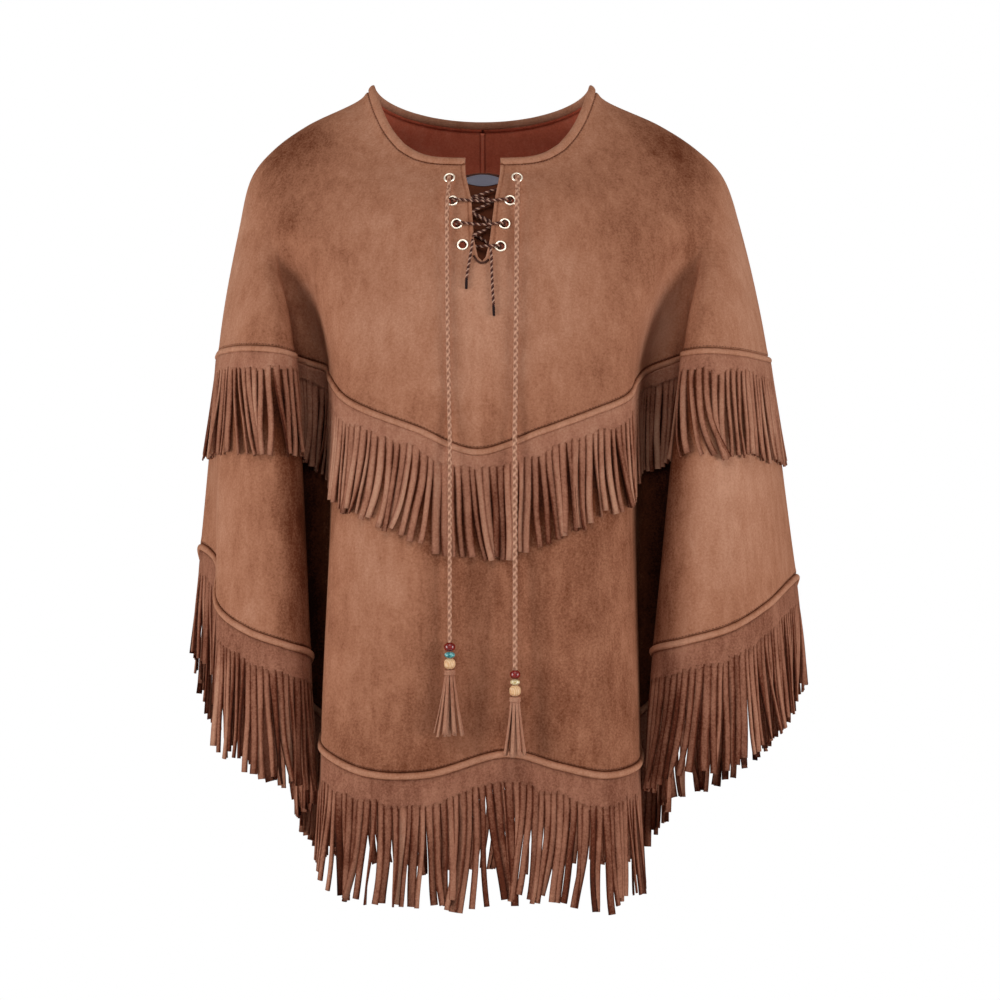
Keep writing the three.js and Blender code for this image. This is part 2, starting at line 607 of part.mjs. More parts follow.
// A header strip cut into strands. place(around, below, out) gives its points.
function fringeGeometry(columns, down, size, base, place) {
  const top = onFacets(columns, (around) => vec(alongRun(around, down, EDGE), 0, 0));
  const cuts = fringeCuts(columns, down, size);
  const points = [];
  const faces = [];
  const quad = (a, b, c, d) => faces.push([a, b, c], [a, c, d]);
  for (const { around } of cuts) {
    const upper = top(around).x;
    for (const below of [upper, Math.max(size.header, upper + STRAND.leastHeader)]) {
      points.push(place(around, below, base + size.thick), place(around, below, base));
    }
  }
  const last = cuts.length - 1;
  for (let c = 0; c < last; c += 1) {
    const [a, b] = [4 * c, 4 * c + 4];
    quad(a, b, b + 2, a + 2);
    quad(a + 1, a + 3, b + 3, b + 1);
    quad(a, a + 1, b + 1, b);
    if (!cuts[c].strand) {
      quad(a + 2, b + 2, b + 3, a + 3);
      continue;
    }
    const middle = (cuts[c].around + cuts[c + 1].around) / 2;
    const { out, across } = clothFrame(middle, Math.min(down + 0.3, 2));
    const beside = mix(clothPoint(middle - 0.5, down), clothPoint(middle + 0.5, down), 0.5);
    const hollow = Math.max(beside.sub(clothPoint(middle, down)).dot(out), 0); // of a gully
    const half = points[a + 2].distanceTo(points[b + 2]) * STRAND.tipHalf;
    const sway = STRAND.sway * Math.sin(c * 0.37) + STRAND.lilt * Math.sin(c * 1.7);
    const length = size.length + extraAt(size.extra, middle) - STRAND.uneven * (1 + Math.sin(c * 0.9));
    const rise = base + size.thick / 2;
    let lift = STRAND.standOff + STRAND.lilt * Math.sin(c * 1.1) + hollow;
    const hang = mix(points[a + 2], points[b + 3], 0.5);
    for (const share of size.restsAt) {
      const clear = place(middle, size.header + share * (length - size.header), rise + STRAND.clear);
      const straight = mix(hang, place(middle, length, rise + lift), share);
      lift += Math.max(clear.sub(straight).dot(out), 0) / share;
    }
    const tip = place(middle, length, rise + lift).addScaledVector(across, sway);
    const root = [a + 3, a + 2, b + 2, b + 3];
    const end = points.length;
    for (const [w, o] of [[-1, -1], [-1, 1], [1, 1], [1, -1]]) {
      points.push(tip.clone().addScaledVector(across, w * half).addScaledVector(out, (o * size.thick) / 2));
    }
    for (let s = 0; s < 4; s += 1) quad(root[s], root[(s + 1) % 4], end + ((s + 1) % 4), end + s);
    quad(end, end + 1, end + 2, end + 3);
  }
  const z = 4 * last;
  quad(0, 2, 3, 1);
  quad(z, z + 1, z + 3, z + 2);
  return geometryOf(points, faces);
}
const FACET_ROOM = 0.4; // more room above the cloth, because its facets are flat
const ON_CLOTH = CLOTH / 2 + GAP + FACET_ROOM;
for (const { name, columns } of PANELS) {
  const yokeFringe = fringeGeometry(columns, 1, YOKE_FRINGE, ON_CLOTH, onSkirtFacets(columns));
  add("yoke_fringe_" + name, yokeFringe, COLOURS.suede);
  const hemPlace = onFacets(columns, underHem);
  const hemFringe = fringeGeometry(columns, 2, HEM_FRINGE, -HEM_FRINGE.thick / 2, hemPlace);
  add("hem_fringe_" + name, hemFringe, COLOURS.suede);
}

// Eyelets: a rolled ring that grips the cloth from both faces, turned from its profile.
function eyeletGeometry() {
  const { hole, flange, wall, clear, sides } = EYELET;
  const face = CLOTH / 2 + clear;
  const profile = [
    [hole, -face - wall], [flange, -face - wall], [flange, -face], [hole + wall, -face],
    [hole + wall, face], [flange, face], [flange, face + wall], [hole, face + wall], [hole, -face - wall],
  ];
  return new THREE.LatheGeometry(profile.map(([r, y]) => new THREE.Vector2(r, y)), sides);
}
for (const { name, x, z } of EYELETS) {
  add("eyelet_" + name, standOnCloth(eyeletGeometry(), frontPlace(x, z)), COLOURS.eyelet, 0.3, 0.8);
}

// Tongue behind the slit. lift is how far its middle stands out of the cloth's middle.
const TONGUE = [
  { z: -80, half: 20, lift: -8.5 },
  { z: -110, half: 19, lift: -8.5 },
  { z: -136, half: 17, lift: -8 },
  { z: -156, half: 15, lift: -7 },
  { z: -174, half: 12, lift: -2.1 },
];
const TONGUE_MIDDLE = 1.5;
function tongueWall(rows, shares, off, thick) {
  const grid = (out) => rows.map(({ z, half, lift }) =>
    shares.map((share) => overFront(TONGUE_MIDDLE + share * half, z, lift + off + out)));
  return wallGeometry(grid(thick / 2), grid(-thick / 2));
}
add("slit_tongue", tongueWall(TONGUE, [1, 0.5, 0, -0.5, -1], 0, TONGUE_THICK), COLOURS.tongue);
const RIBBON = [{ z: -81.6, half: 16.5, lift: -8.5 }, { z: -92, half: 16.5, lift: -8.5 }];
const RIBBON_OFF = TONGUE_THICK / 2 + GAP + RIBBON_THICK / 2;
add("tongue_ribbon", tongueWall(RIBBON, [1, 0, -1], RIBBON_OFF, RIBBON_THICK), COLOURS.ribbon, 0.5);

// The lace. Each pass through an eyelet comes from the slit over its flange, down the hole and
// back towards the slit behind the cloth. toSlit is +1 on the wearer's right and -1 on the left.
function throughEyelet(name) {
  const { x, z } = eyeletNamed(name);
  const toSlit = name.startsWith("right") ? 1 : -1;
  return [[2.6, 4], [0.2, 2.6], [0.2, -2.6], [2.6, -4.1]].map(([way, lift]) => [x + toSlit * way, z, lift]);
}
// The lace runs up over the tongue in a zigzag inside the slit, and comes down again in straight
// bars over the slit, from each left eyelet to the right one, with a slant behind to the next.
const LACE_ROUTE = [
  [-7.2, -144.4, 2.9],
  [-4.6, -141, 1.4],
  [2, -137, -2.2],
  [8.8, -131.4, -2.8],
  [0.6, -125.6, -2.7],
  [-8.4, -120, -2.8],
  [0.8, -114.6, -2.7],
  [10.6, -109.4, -2.8],
  [1.5, -106.8, -2.7],
  [-9.6, -106.2, -2.9],
  [1, -102.4, -2.9],
  [14.6, -98.2, -3.4],
  [20.2, -103.2, -4.6],
  ...throughEyelet("left_2").toReversed(),
  [12.8, -111.2, 3],
  [1, -111.6, 2],
  [-11.4, -111.4, 3],
  ...throughEyelet("right_2"),
  [-11, -117.2, -5.2],
  [0, -122.6, -5.7],
  [10.4, -128, -5.4],
  ...throughEyelet("left_3").toReversed(),
  [10.6, -132.6, 3],
  [1, -133, 2],
  [-9, -132.6, 3],
  ...throughEyelet("right_3"),
  [-9.5, -137.6, -5],
  [0, -143, -5.2],
  [8, -148.6, -4.6],
  ...throughEyelet("left_4").toReversed(),
  [8, -152.4, 2.8],
  [2.6, -152, 1.2],
  [-0.4, -151.6, -1.2],
  [-3.4, -151, -2.9],
  [-7.4, -150.4, -3],
];
const laceRoute = LACE_ROUTE.map((row) => overFront(...row));
add("lacing", rodAlong(laceRoute, laceRoute.map(() => LACE.radius), HELD_LACE_SIDES), COLOURS.lace);

// Its two free tails hang over the yoke below the slit.
const TAILS = [
  {
    name: "right",
    steps: 5,
    route: [
      [-7.4, -146.6, 3], [-8.6, -156, 3.2], [-11, -170, 2.8], [-12.6, -181, 2.8], [-13, -190.8, 2.8],
    ],
  },
  {
    name: "left",
    steps: 7,
    route: [
      [8.2, -154.2, 3], [8.9, -161, 3.2], [9.2, -173, 2.8],
      [10, -190, 2.8], [10.8, -204, 2.8], [11.3, -214.7, 2.8],
    ],
  },
];
for (const { name, steps, route } of TAILS) {
  const points = route.map((row) => overFront(...row));
  add("lace_tail_" + name, freeCord(points, LACE.radius, LACE.sides, steps), COLOURS.lace);
}

// Drawcords. The part held in the top eyelet ends behind it in a knot. The free part lies down
// the yoke, over the piping and fringe, and hangs plumb from there to its tassel.
const KNOT = [
  { lift: -9.6, radius: 1.8 },
  { lift: -8.6, radius: 4 },
  { lift: -6.2, radius: 4.9 },
  { lift: -3.7, radius: 4 },
  { lift: -2.6, radius: DRAWCORD.radius },
];
const HANG_STEP = 42; // between a hanging cord's route points
const OVER_RIM = [[0.3, 2.3], [-2.4, 4.9], [-6.5, 5.1], [-13, 4]]; // [up from the eyelet, lift]
const CORDS = [
  {
    name: "right",
    onYoke: [
      [-28.5, -103, 5.4], [-29.3, -111, 6.2], [-29.7, -121, 5.5], [-29.8, -132, 5.2],
      [-29.8, -146, 4.2], [-29.6, -180, 4], [-29, -240, 4], [-28, -296, 4.2], [-27.6, -326, 7],
    ],
    hang: { x: -27, y: -164.5, top: -352 },
    end: -522.2,
  },
  {
    name: "left",
    onYoke: [
      [31.5, -103, 5.2], [31.3, -111, 6], [31.1, -121, 5], [31, -146, 4.2],
      [30.8, -180, 4.1], [30.4, -240, 4.2], [30, -296, 4.4], [29.8, -325, 7],
    ],
    hang: { x: 29.6, y: -165, top: -352 },
    end: -545.6,
  },
];
for (const { name, onYoke, hang, end } of CORDS) {
  const { x, z } = eyeletNamed(name + "_1");
  const held = [...KNOT.map(({ lift }) => [0, lift]), ...OVER_RIM];
  const radii = [...KNOT.map(({ radius }) => radius), ...OVER_RIM.map(() => DRAWCORD.radius)];
  const root = held.map(([up, lift]) => overFront(x, z + up, lift));
  add("drawcord_root_" + name, rodAlong(root, radii, DRAWCORD.sides), COLOURS.suede);
  const free = onYoke.map((row) => overFront(...row));
  for (let z = hang.top; z > end + HANG_STEP / 4; z -= HANG_STEP) free.push(vec(hang.x, hang.y, z));
  free.push(vec(hang.x, hang.y, end));
  add("drawcord_" + name, freeCord(free, DRAWCORD.radius, DRAWCORD.sides, DRAWCORD.steps), COLOURS.suede);
}

// Beads on the drawcords' ends, by height, each turned from its outline round the cord.
const BEADS = [
  { name: "red_right", cord: 0, z: -502.6, radius: 4.9, high: 7.6, kind: "red" },
  { name: "turquoise_right", cord: 0, z: -509.5, radius: 4.5, high: 5, kind: "turquoise" },
  { name: "wood_right", cord: 0, z: -517.1, radius: 5, high: 9.4, kind: "wood" },
  { name: "red_left", cord: 1, z: -526.4, radius: 4.5, high: 7.4, kind: "red" },
  { name: "pale_left", cord: 1, z: -533, radius: 4.2, high: 4.6, kind: "pale" },
  { name: "wood_left", cord: 1, z: -540.5, radius: 5, high: 9.4, kind: "wood" },
];
const BEAD_FINISHES = {
  red: { color: COLOURS.redBead, roughness: 0.15 },
  turquoise: { color: COLOURS.turquoiseBead, roughness: 0.2 },
  pale: { color: COLOURS.paleBead, roughness: 0.3 },
  wood: { color: COLOURS.woodBead, roughness: 0.45 },
};
const BEAD_HOLE = DRAWCORD.radius + GAP;
function beadGeometry(radius, high) {
  const outline = [-1, -0.4, 0.4, 1].map((level) => {
    const bulge = radius * Math.sqrt(1 - (0.8 * level) ** 2);
    return new THREE.Vector2(bulge, (level * high) / 2);
  });
  const [foot, top] = [-1, 1].map((end) => new THREE.Vector2(BEAD_HOLE, (end * high) / 2));
  return new THREE.LatheGeometry([foot, ...outline, top, foot.clone()], 8);
}
for (const { name, cord, z, radius, high, kind } of BEADS) {
  const { x, y } = CORDS[cord].hang;
  const { color, roughness } = BEAD_FINISHES[kind];
  add("bead_" + name, beadGeometry(radius, high).rotateX(Math.PI / 2).translate(x, y, z), color, roughness);
}

// A tassel: suede rolled up into a head, and cut into two rings of strands below it. They spread
// to both sides, and less to the front and back, because the tassel lies against the skirt.
const TASSEL = { headRadius: 4.9, headHigh: 4.5, thick: 1.2, width: 2.6, depth: 0.55 };
const TASSEL_RINGS = [
  { strands: 8, radius: 3.7, spread: 8.5 },
  { strands: 4, radius: 1.6, spread: 3 },
];
const TASSEL_FALLS = { right: { length: 59, opens: 1 }, left: { length: 53, opens: 0.7 } };
function tasselGeometry({ length, opens }) {
  const { headRadius, headHigh, thick, width, depth } = TASSEL;
  const profile = [[0, 0], [headRadius, 0], [headRadius - 0.4, headHigh], [0, headHigh]];
  const outline = profile.map(([radius, z]) => new THREE.Vector2(radius, z));
  let solid = solidOf(new THREE.LatheGeometry(outline, 8).rotateX(Math.PI / 2));
  TASSEL_RINGS.forEach(({ strands, radius, spread }, ring) => {
    for (let n = 0; n < strands; n += 1) {
      const angle = ((n + 0.5 * ring) / strands) * 2 * Math.PI;
      const out = vec(Math.cos(angle), Math.sin(angle), 0);
      const side = vec(-out.y, out.x, 0);
      const foot = out.clone().multiplyScalar(spread * opens).multiply(vec(1, depth, 0));
      const ends = [[vec(0, 0, 1), 1], [foot.setZ(-(length - headHigh) + 5 * (n % 2)), 0.75]];
      const rings = ends.map(([place, share]) => [[-1, -1], [0, 1], [1, -1]].map(([w, o]) =>
        place.clone().addScaledVector(out, radius + (o * thick) / 2)
          .addScaledVector(side, (-w * width * share) / 2)));
      solid = solid.add(solidOf(rodGeometry(rings, false)));
    }
  });
  return geometryFrom(solid);
}
for (const { name, hang, end } of CORDS) {
  const top = end - GAP - TASSEL.headHigh;
  const tassel = tasselGeometry(TASSEL_FALLS[name]).translate(hang.x, hang.y, top);
  add("tassel_" + name, tassel, COLOURS.suede);
}

export default poncho;
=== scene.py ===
import bpy
import bmesh
import numpy as np
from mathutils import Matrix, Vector


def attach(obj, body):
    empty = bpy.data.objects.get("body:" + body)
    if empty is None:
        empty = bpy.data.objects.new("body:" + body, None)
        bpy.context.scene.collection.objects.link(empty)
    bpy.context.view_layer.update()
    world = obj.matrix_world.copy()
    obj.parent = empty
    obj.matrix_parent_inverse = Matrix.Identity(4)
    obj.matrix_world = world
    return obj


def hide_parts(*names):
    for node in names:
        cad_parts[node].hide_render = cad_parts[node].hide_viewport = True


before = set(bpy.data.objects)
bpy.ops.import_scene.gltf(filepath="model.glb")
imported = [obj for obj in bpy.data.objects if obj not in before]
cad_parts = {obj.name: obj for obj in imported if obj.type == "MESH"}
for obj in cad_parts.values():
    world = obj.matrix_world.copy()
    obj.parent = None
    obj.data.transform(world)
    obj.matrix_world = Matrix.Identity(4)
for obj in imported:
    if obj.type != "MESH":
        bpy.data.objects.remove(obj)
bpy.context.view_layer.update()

# View
# The garment is seen from straight ahead, level with its middle, and from so far that the frame
# takes in 0.92 m there.
VIEW_PLACE = (0.01656, -2.8, -0.37536)
VIEW_WIDTH = 0.92
SENSOR = 36.0
camera = bpy.data.objects.new("camera", bpy.data.cameras.new("camera"))
camera.data.sensor_width = SENSOR
camera.data.lens = SENSOR * abs(VIEW_PLACE[1]) / VIEW_WIDTH
camera.location = VIEW_PLACE
camera.rotation_euler = (np.pi / 2, 0, 0)
bpy.context.collection.objects.link(camera)
bpy.context.scene.camera = camera

# Yoke
# The yoke is cut from brushed suede, one piece in front and two behind, and lies close on the
# shoulders. It is open down the front as a laced slit, and is sewn to the skirt round its foot.
# Rings of cloth on the figure, in metres. shift moves both sides to the wearer's left, and fold
# is the share of the drape's folds that shows.
RINGS = [  # name, half width, front, back, drop at the side, ahead, behind, shift, fold
    ("neck", 0.1015, 0.084, 0.074, -0.003, 0.073, 0.0225, 0, 0),
    ("collar", 0.111, 0.09, 0.08, 0.0075, 0.082, 0.036, 0, 0),
    ("slope", 0.1615, 0.105, 0.094, 0.032, 0.108, 0.066, 0.0015, 0),
    ("ridge", 0.1935, 0.114, 0.103, 0.054, 0.132, 0.096, 0.003, 0),
    ("shoulder", 0.215, 0.122, 0.11, 0.078, 0.158, 0.128, 0.005, 0),
    ("arm", 0.2305, 0.134, 0.12, 0.127, 0.208, 0.19, 0.0075, 0.25),
]
SEAM_RING = ("yoke seam", 0.254, 0.15, 0.134, 0.245, 0.334, 0.328, 0.01, 0)
# Crests and gullies of the drape, from the centre front round the wearer's right side.
FOLDS = [  # name, turn in degrees, place on the yoke seam, place in the hem
    ("centre front", 0, (-0.003, -0.152, -0.334), (0.021, -0.142, -0.597)),
    ("right soft crest", 14, (-0.057, -0.153, -0.314), (-0.048, -0.158, -0.614)),
    ("right crest", 26, (-0.099, -0.141, -0.298), (-0.1, -0.162, -0.612)),
    ("right corner", 35, (-0.121, -0.119, -0.285), (-0.136, -0.132, -0.597)),
    ("right flank", 43, (-0.133, -0.088, -0.269), (-0.141, -0.092, -0.586)),
    ("right wall", 48, (-0.141, -0.05, -0.256), (-0.141, -0.01, -0.576)),
    ("right gully", 53, (-0.158, -0.044, -0.251), (-0.158, -0.012, -0.562)),
    ("right inner wall", 58, (-0.171, -0.064, -0.248), (-0.17, -0.052, -0.54)),
    ("right lobe edge", 63, (-0.168, -0.092, -0.247), (-0.152, -0.098, -0.513)),
    ("right lobe front", 69, (-0.184, -0.107, -0.243), (-0.172, -0.124, -0.503)),
    ("right lobe crest", 77, (-0.21, -0.093, -0.241), (-0.205, -0.121, -0.491)),
    ("right lobe corner", 85, (-0.232, -0.058, -0.242), (-0.234, -0.09, -0.47)),
    ("right notch", 92, (-0.24, -0.02, -0.245), (-0.238, -0.042, -0.433)),
    ("right side", 99, (-0.242, 0.018, -0.244), (-0.258, 0.002, -0.419)),
    ("right back notch", 106, (-0.238, 0.048, -0.245), (-0.258, 0.046, -0.44)),
    ("right back corner", 113, (-0.222, 0.08, -0.247), (-0.246, 0.088, -0.48)),
    ("right back lobe", 121, (-0.197, 0.099, -0.249), (-0.212, 0.116, -0.518)),
    ("right back edge", 129, (-0.17, 0.1, -0.252), (-0.174, 0.12, -0.545)),
    ("right back gully", 139, (-0.149, 0.062, -0.259), (-0.152, 0.043, -0.569)),
    ("right back flank", 149, (-0.127, 0.094, -0.272), (-0.137, 0.106, -0.59)),
    ("right back shoulder", 154, (-0.112, 0.113, -0.283), (-0.126, 0.138, -0.604)),
    ("right back crest", 162, (-0.084, 0.127, -0.298), (-0.092, 0.159, -0.614)),
    ("right back soft crest", 171, (-0.044, 0.133, -0.314), (-0.046, 0.153, -0.616)),
    ("centre back", 180, (0.002, 0.13, -0.328), (0.004, 0.14, -0.612)),
    ("left back soft crest", 189, (0.046, 0.133, -0.316), (0.054, 0.155, -0.618)),
    ("left back crest", 198, (0.086, 0.126, -0.3), (0.098, 0.158, -0.614)),
    ("left back shoulder", 206, (0.116, 0.112, -0.285), (0.124, 0.137, -0.606)),
    ("left back flank", 211, (0.132, 0.093, -0.274), (0.134, 0.104, -0.598)),
    ("left back gully", 221, (0.157, 0.061, -0.26), (0.146, 0.042, -0.57)),
    ("left back edge", 231, (0.182, 0.099, -0.253), (0.172, 0.118, -0.551)),
    ("left back lobe", 239, (0.21, 0.1, -0.25), (0.212, 0.12, -0.54)),
    ("left back corner", 247, (0.238, 0.08, -0.248), (0.252, 0.092, -0.512)),
    ("left back notch", 254, (0.257, 0.048, -0.247), (0.28, 0.052, -0.478)),
    ("left side", 261, (0.261, 0.018, -0.247), (0.289, 0.005, -0.448)),
    ("left notch", 268, (0.261, -0.019, -0.248), (0.277, -0.042, -0.452)),
    ("left lobe corner", 275, (0.248, -0.058, -0.247), (0.253, -0.088, -0.47)),
    ("left lobe crest", 283, (0.226, -0.093, -0.245), (0.217, -0.122, -0.489)),
    ("left lobe front", 291, (0.199, -0.108, -0.244), (0.179, -0.124, -0.5)),
    ("left lobe edge", 297, (0.181, -0.095, -0.246), (0.153, -0.098, -0.509)),
    ("left inner wall", 302, (0.185, -0.068, -0.247), (0.172, -0.054, -0.53)),
    ("left gully", 307, (0.173, -0.046, -0.25), (0.161, -0.011, -0.556)),
    ("left wall", 312, (0.152, -0.046, -0.257), (0.139, -0.01, -0.575)),
    ("left flank", 317, (0.137, -0.089, -0.27), (0.141, -0.092, -0.604)),
    ("left corner", 325, (0.127, -0.12, -0.286), (0.132, -0.134, -0.611)),
    ("left crest", 334, (0.096, -0.142, -0.3), (0.106, -0.163, -0.614)),
    ("left soft crest", 346, (0.053, -0.153, -0.316), (0.069, -0.156, -0.607)),
]
FOLD_COUNT = len(FOLDS)
FOLD_NUMBER = {name: number for number, (name, _, _, _) in enumerate(FOLDS)}
RIGHT_SEAM, CENTRE_BACK = FOLD_NUMBER["right side"], FOLD_NUMBER["centre back"]
LEFT_SEAM = FOLD_NUMBER["left side"]
PANELS = {  # from the first fold line to the last
    "front": (LEFT_SEAM - FOLD_COUNT, RIGHT_SEAM),
    "back_right": (RIGHT_SEAM, CENTRE_BACK),
    "back_left": (CENTRE_BACK, LEFT_SEAM),
}
CLOTH = 0.002  # thickness of the suede
LINE_ROWS = 240  # steps down the yoke, and as many down the skirt
NUDGE = 0.02


def length_of(v):
    """The lengths of an array of vectors, kept as a last axis of one."""
    return np.linalg.norm(v, axis=-1, keepdims=True)


def unit(v):
    """Each vector of an array, at length one."""
    return v / length_of(v)


def ring_points(ring, turns):
    """Points of a ring of cloth: half an ellipse before the figure and half an ellipse behind it,
    which drops from its sides to its middle by a smooth share of the turn's cosine."""
    _, half, front, back, side_drop, ahead_drop, behind_drop, shift, _ = ring
    ahead, side = np.cos(np.radians(turns)), -np.sin(np.radians(turns))
    facing = ahead > 0
    share = np.where(facing, ahead**2 * (3 - 2 * ahead), np.abs(ahead) ** 1.15)
    drop = side_drop + (np.where(facing, ahead_drop, behind_drop) - side_drop) * share
    return np.stack([shift * abs(side) + half * side, -np.where(facing, front, back) * ahead, -drop], -1)


def smooth_between(near, gaps, share):
    """The smooth curve through the middle two of four points, at a share of the way: a cubic whose
    slopes come from the outer two points and from how far apart all four are."""
    a, b, c, d = near
    before, here, after = gaps
    slope_b = ((c - b) * before / here + (b - a) * here / before) / (before + here)
    slope_c = ((d - c) * here / after + (c - b) * after / here) / (here + after)
    s2, s3 = share**2, share**3
    return (b * (2 * s3 - 3 * s2 + 1) + slope_b * here * (s3 - 2 * s2 + share)
            + c * (3 * s2 - 2 * s3) + slope_c * here * (s3 - s2))


def smooth_line(stations, steps=24):
    """A smooth curve through stations on the first axis, carried on straight past both ends."""
    stations = [2 * stations[0] - stations[1], *stations, 2 * stations[-1] - stations[-2]]
    share = np.arange(steps)[:, None] / steps
    parts = []
    for k in range(len(stations) - 3):
        near = [p[..., None, :] for p in stations[k : k + 4]]
        gaps = [length_of(q - p) ** 0.5 for p, q in zip(near, near[1:])]
        parts.append(smooth_between(near, gaps, share))
    return np.concatenate([*parts, stations[-2][..., None, :]], axis=-2)


def even_steps(line, count):
    """Points at count even steps of length along a line of points."""
    along = np.append(0, np.cumsum(length_of(np.diff(line, axis=0))))
    at = np.linspace(0, along[-1], count + 1)
    return np.stack([np.interp(at, along, line[:, axis]) for axis in range(3)], -1)


def fold_lines():
    """Every fold's line down the cloth, through the rings, the yoke seam and the hem, by even steps
    in the yoke and then in the skirt."""
    turns = np.array([turn for _, turn, _, _ in FOLDS], float)
    seam = np.array([place for _, _, place, _ in FOLDS])
    hem = np.array([place for _, _, _, place in FOLDS])
    folded = seam - ring_points(SEAM_RING, turns)
    stations = [ring_points(ring, turns) + ring[-1] * folded for ring in RINGS] + [seam, hem]
    lines = smooth_line(stations)
    split = 24 * len(RINGS)
    return np.array([np.concatenate([even_steps(line[: split + 1], LINE_ROWS)[:-1],
                                     even_steps(line[split:], LINE_ROWS)]) for line in lines])


FOLD_LINES = fold_lines()
SPREAD = np.sqrt(np.mean([length_of(np.roll(FOLD_LINES, -1, axis=0)[:, row] - FOLD_LINES[:, row])
                          for row in (LINE_ROWS, LINE_ROWS * 3 // 2, LINE_ROWS * 2)], axis=0))


def cloth(around, down):
    """The middle of the cloth. around counts fold lines from the centre front, and down runs from 0
    at the neck to 1 at the yoke seam and 2 at the hem. Each fold line gives its point at that
    height, and a smooth curve round the garment joins them."""
    around, down = np.broadcast_arrays(np.asarray(around, float), np.asarray(down, float))
    fold = np.floor(around).astype(int)
    row = np.clip(down, 0, 2) * LINE_ROWS
    upper = np.minimum(row.astype(int), 2 * LINE_ROWS - 1)
    part = (row - upper)[..., None]
    near = [FOLD_LINES[(fold + n) % FOLD_COUNT, upper] * (1 - part)
            + FOLD_LINES[(fold + n) % FOLD_COUNT, upper + 1] * part for n in (-1, 0, 1, 2)]
    gaps = [SPREAD[(fold + n) % FOLD_COUNT] for n in (-1, 0, 1)]
    return smooth_between(near, gaps, (around - fold)[..., None])


def cloth_ways(around, down):
    """The directions across the folds, along them, and out of the cloth, and the metres between
    neighbouring fold lines there."""
    step = cloth(around + NUDGE, down) - cloth(around - NUDGE, down)
    run = unit(cloth(around, np.minimum(down + NUDGE, 2)) - cloth(around, np.maximum(down - NUDGE, 0)))
    across = unit(step)
    return across, run, unit(np.cross(across, run)), length_of(step)[..., 0] / (2 * NUDGE)


def length_down(around, start):
    """How long a fold line is in the yoke, where start is 0, or in the skirt, where it is 1."""
    points = cloth(np.asarray(around, float)[..., None], start + np.linspace(0, 1, 13))
    return length_of(np.diff(points, axis=-2)).sum((-1, -2))


def find_front(x, z, guess=(0.0, 0.6)):
    """Where on the front the cloth's middle has a given x and z, by Newton's steps in around and
    down, from a guess."""
    around, down = [np.full(np.shape(x), start, float) for start in guess]
    for _ in range(20):
        here = cloth(around, down)[..., [0, 2]]
        by_around = (cloth(around + NUDGE, down)[..., [0, 2]] - here) / NUDGE
        by_down = (cloth(around, down + NUDGE)[..., [0, 2]] - here) / NUDGE
        miss = np.stack([x, z], -1) - here
        square = by_around[..., 0] * by_down[..., 1] - by_around[..., 1] * by_down[..., 0]
        turn = miss[..., 0] * by_down[..., 1] - miss[..., 1] * by_down[..., 0]
        drop = by_around[..., 0] * miss[..., 1] - by_around[..., 1] * miss[..., 0]
        around, down = around + turn / square, np.clip(down + drop / square, 0, 1.9)
    return around, down


def on_front(route):
    """Points over the front, each given as x, z and its lift out of the cloth's middle."""
    x, z, lift = np.array(route, float).T
    around, down = find_front(x, z)
    return cloth(around, down) + cloth_ways(around, down)[2] * lift[:, None]


def grid_mesh(name, points, round_it=False):
    """An object whose faces join the neighbours in a grid of points, rows by columns, and the last
    column to the first where it goes round."""
    rows, columns = points.shape[:2]
    at = np.arange(rows * columns).reshape(rows, columns)
    if round_it:
        at = np.append(at, at[:, :1], axis=1)
    faces = np.stack([at[:-1, :-1], at[:-1, 1:], at[1:, 1:], at[1:, :-1]], -1).reshape(-1, 4)
    return new_piece(name, points.reshape(-1, 3), faces.tolist())


def new_piece(name, points, faces, smooth=True):
    """A smooth-shaded object at the origin, which rides on the garment."""
    mesh = bpy.data.meshes.new(name)
    mesh.from_pydata(points.tolist(), [], faces)
    mesh.polygons.foreach_set("use_smooth", np.full(len(mesh.polygons), smooth))
    piece = bpy.data.objects.new(name, mesh)
    bpy.context.collection.objects.link(piece)
    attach(piece, "root")
    return piece


def mend(piece, gap=1e-5):
    """Welds the points of a piece that share a place, closes its open ends, and turns all its faces
    outwards."""
    work = bmesh.new()
    work.from_mesh(piece.data)
    bmesh.ops.remove_doubles(work, verts=work.verts, dist=gap)
    bmesh.ops.holes_fill(work, edges=[edge for edge in work.edges if edge.is_boundary])
    bmesh.ops.recalc_face_normals(work, faces=work.faces)
    work.to_mesh(piece.data)
    work.free()


def keep_number(piece, name, numbers):
    """Stores one number for each point of a piece, which its material reads."""
    piece.data.attributes.new(name, "FLOAT", "POINT").data.foreach_set("value", np.ravel(numbers))


def linear(shade):
    """The linear colour of an sRGB hex value, opaque."""
    part = np.array([int(shade[i : i + 2], 16) for i in (1, 3, 5)]) / 255
    part = np.where(part <= 0.04045, part / 12.92, ((part + 0.055) / 1.055) ** 2.4)
    return (*part.tolist(), 1.0)


def add_node(material, kind, inputs=None, **settings):
    """Adds a node with its settings. Each input is a value, or the socket that it is linked to."""
    made = material.node_tree.nodes.new(kind)
    for key, value in settings.items():
        setattr(made, key, value)
    for key, value in (inputs or {}).items():
        if isinstance(value, bpy.types.NodeSocket):
            material.node_tree.links.new(value, made.inputs[key])
        else:
            made.inputs[key].default_value = value
    return made


def start_material(name, inputs):
    """A material with only its shader, set to the given values, and that shader."""
    material = bpy.data.materials.new(name)
    material.use_nodes = True
    material.node_tree.nodes.clear()
    shader = add_node(material, "ShaderNodeBsdfPrincipled", inputs)
    out = add_node(material, "ShaderNodeOutputMaterial")
    material.node_tree.links.new(shader.outputs["BSDF"], out.inputs["Surface"])
    return material, shader


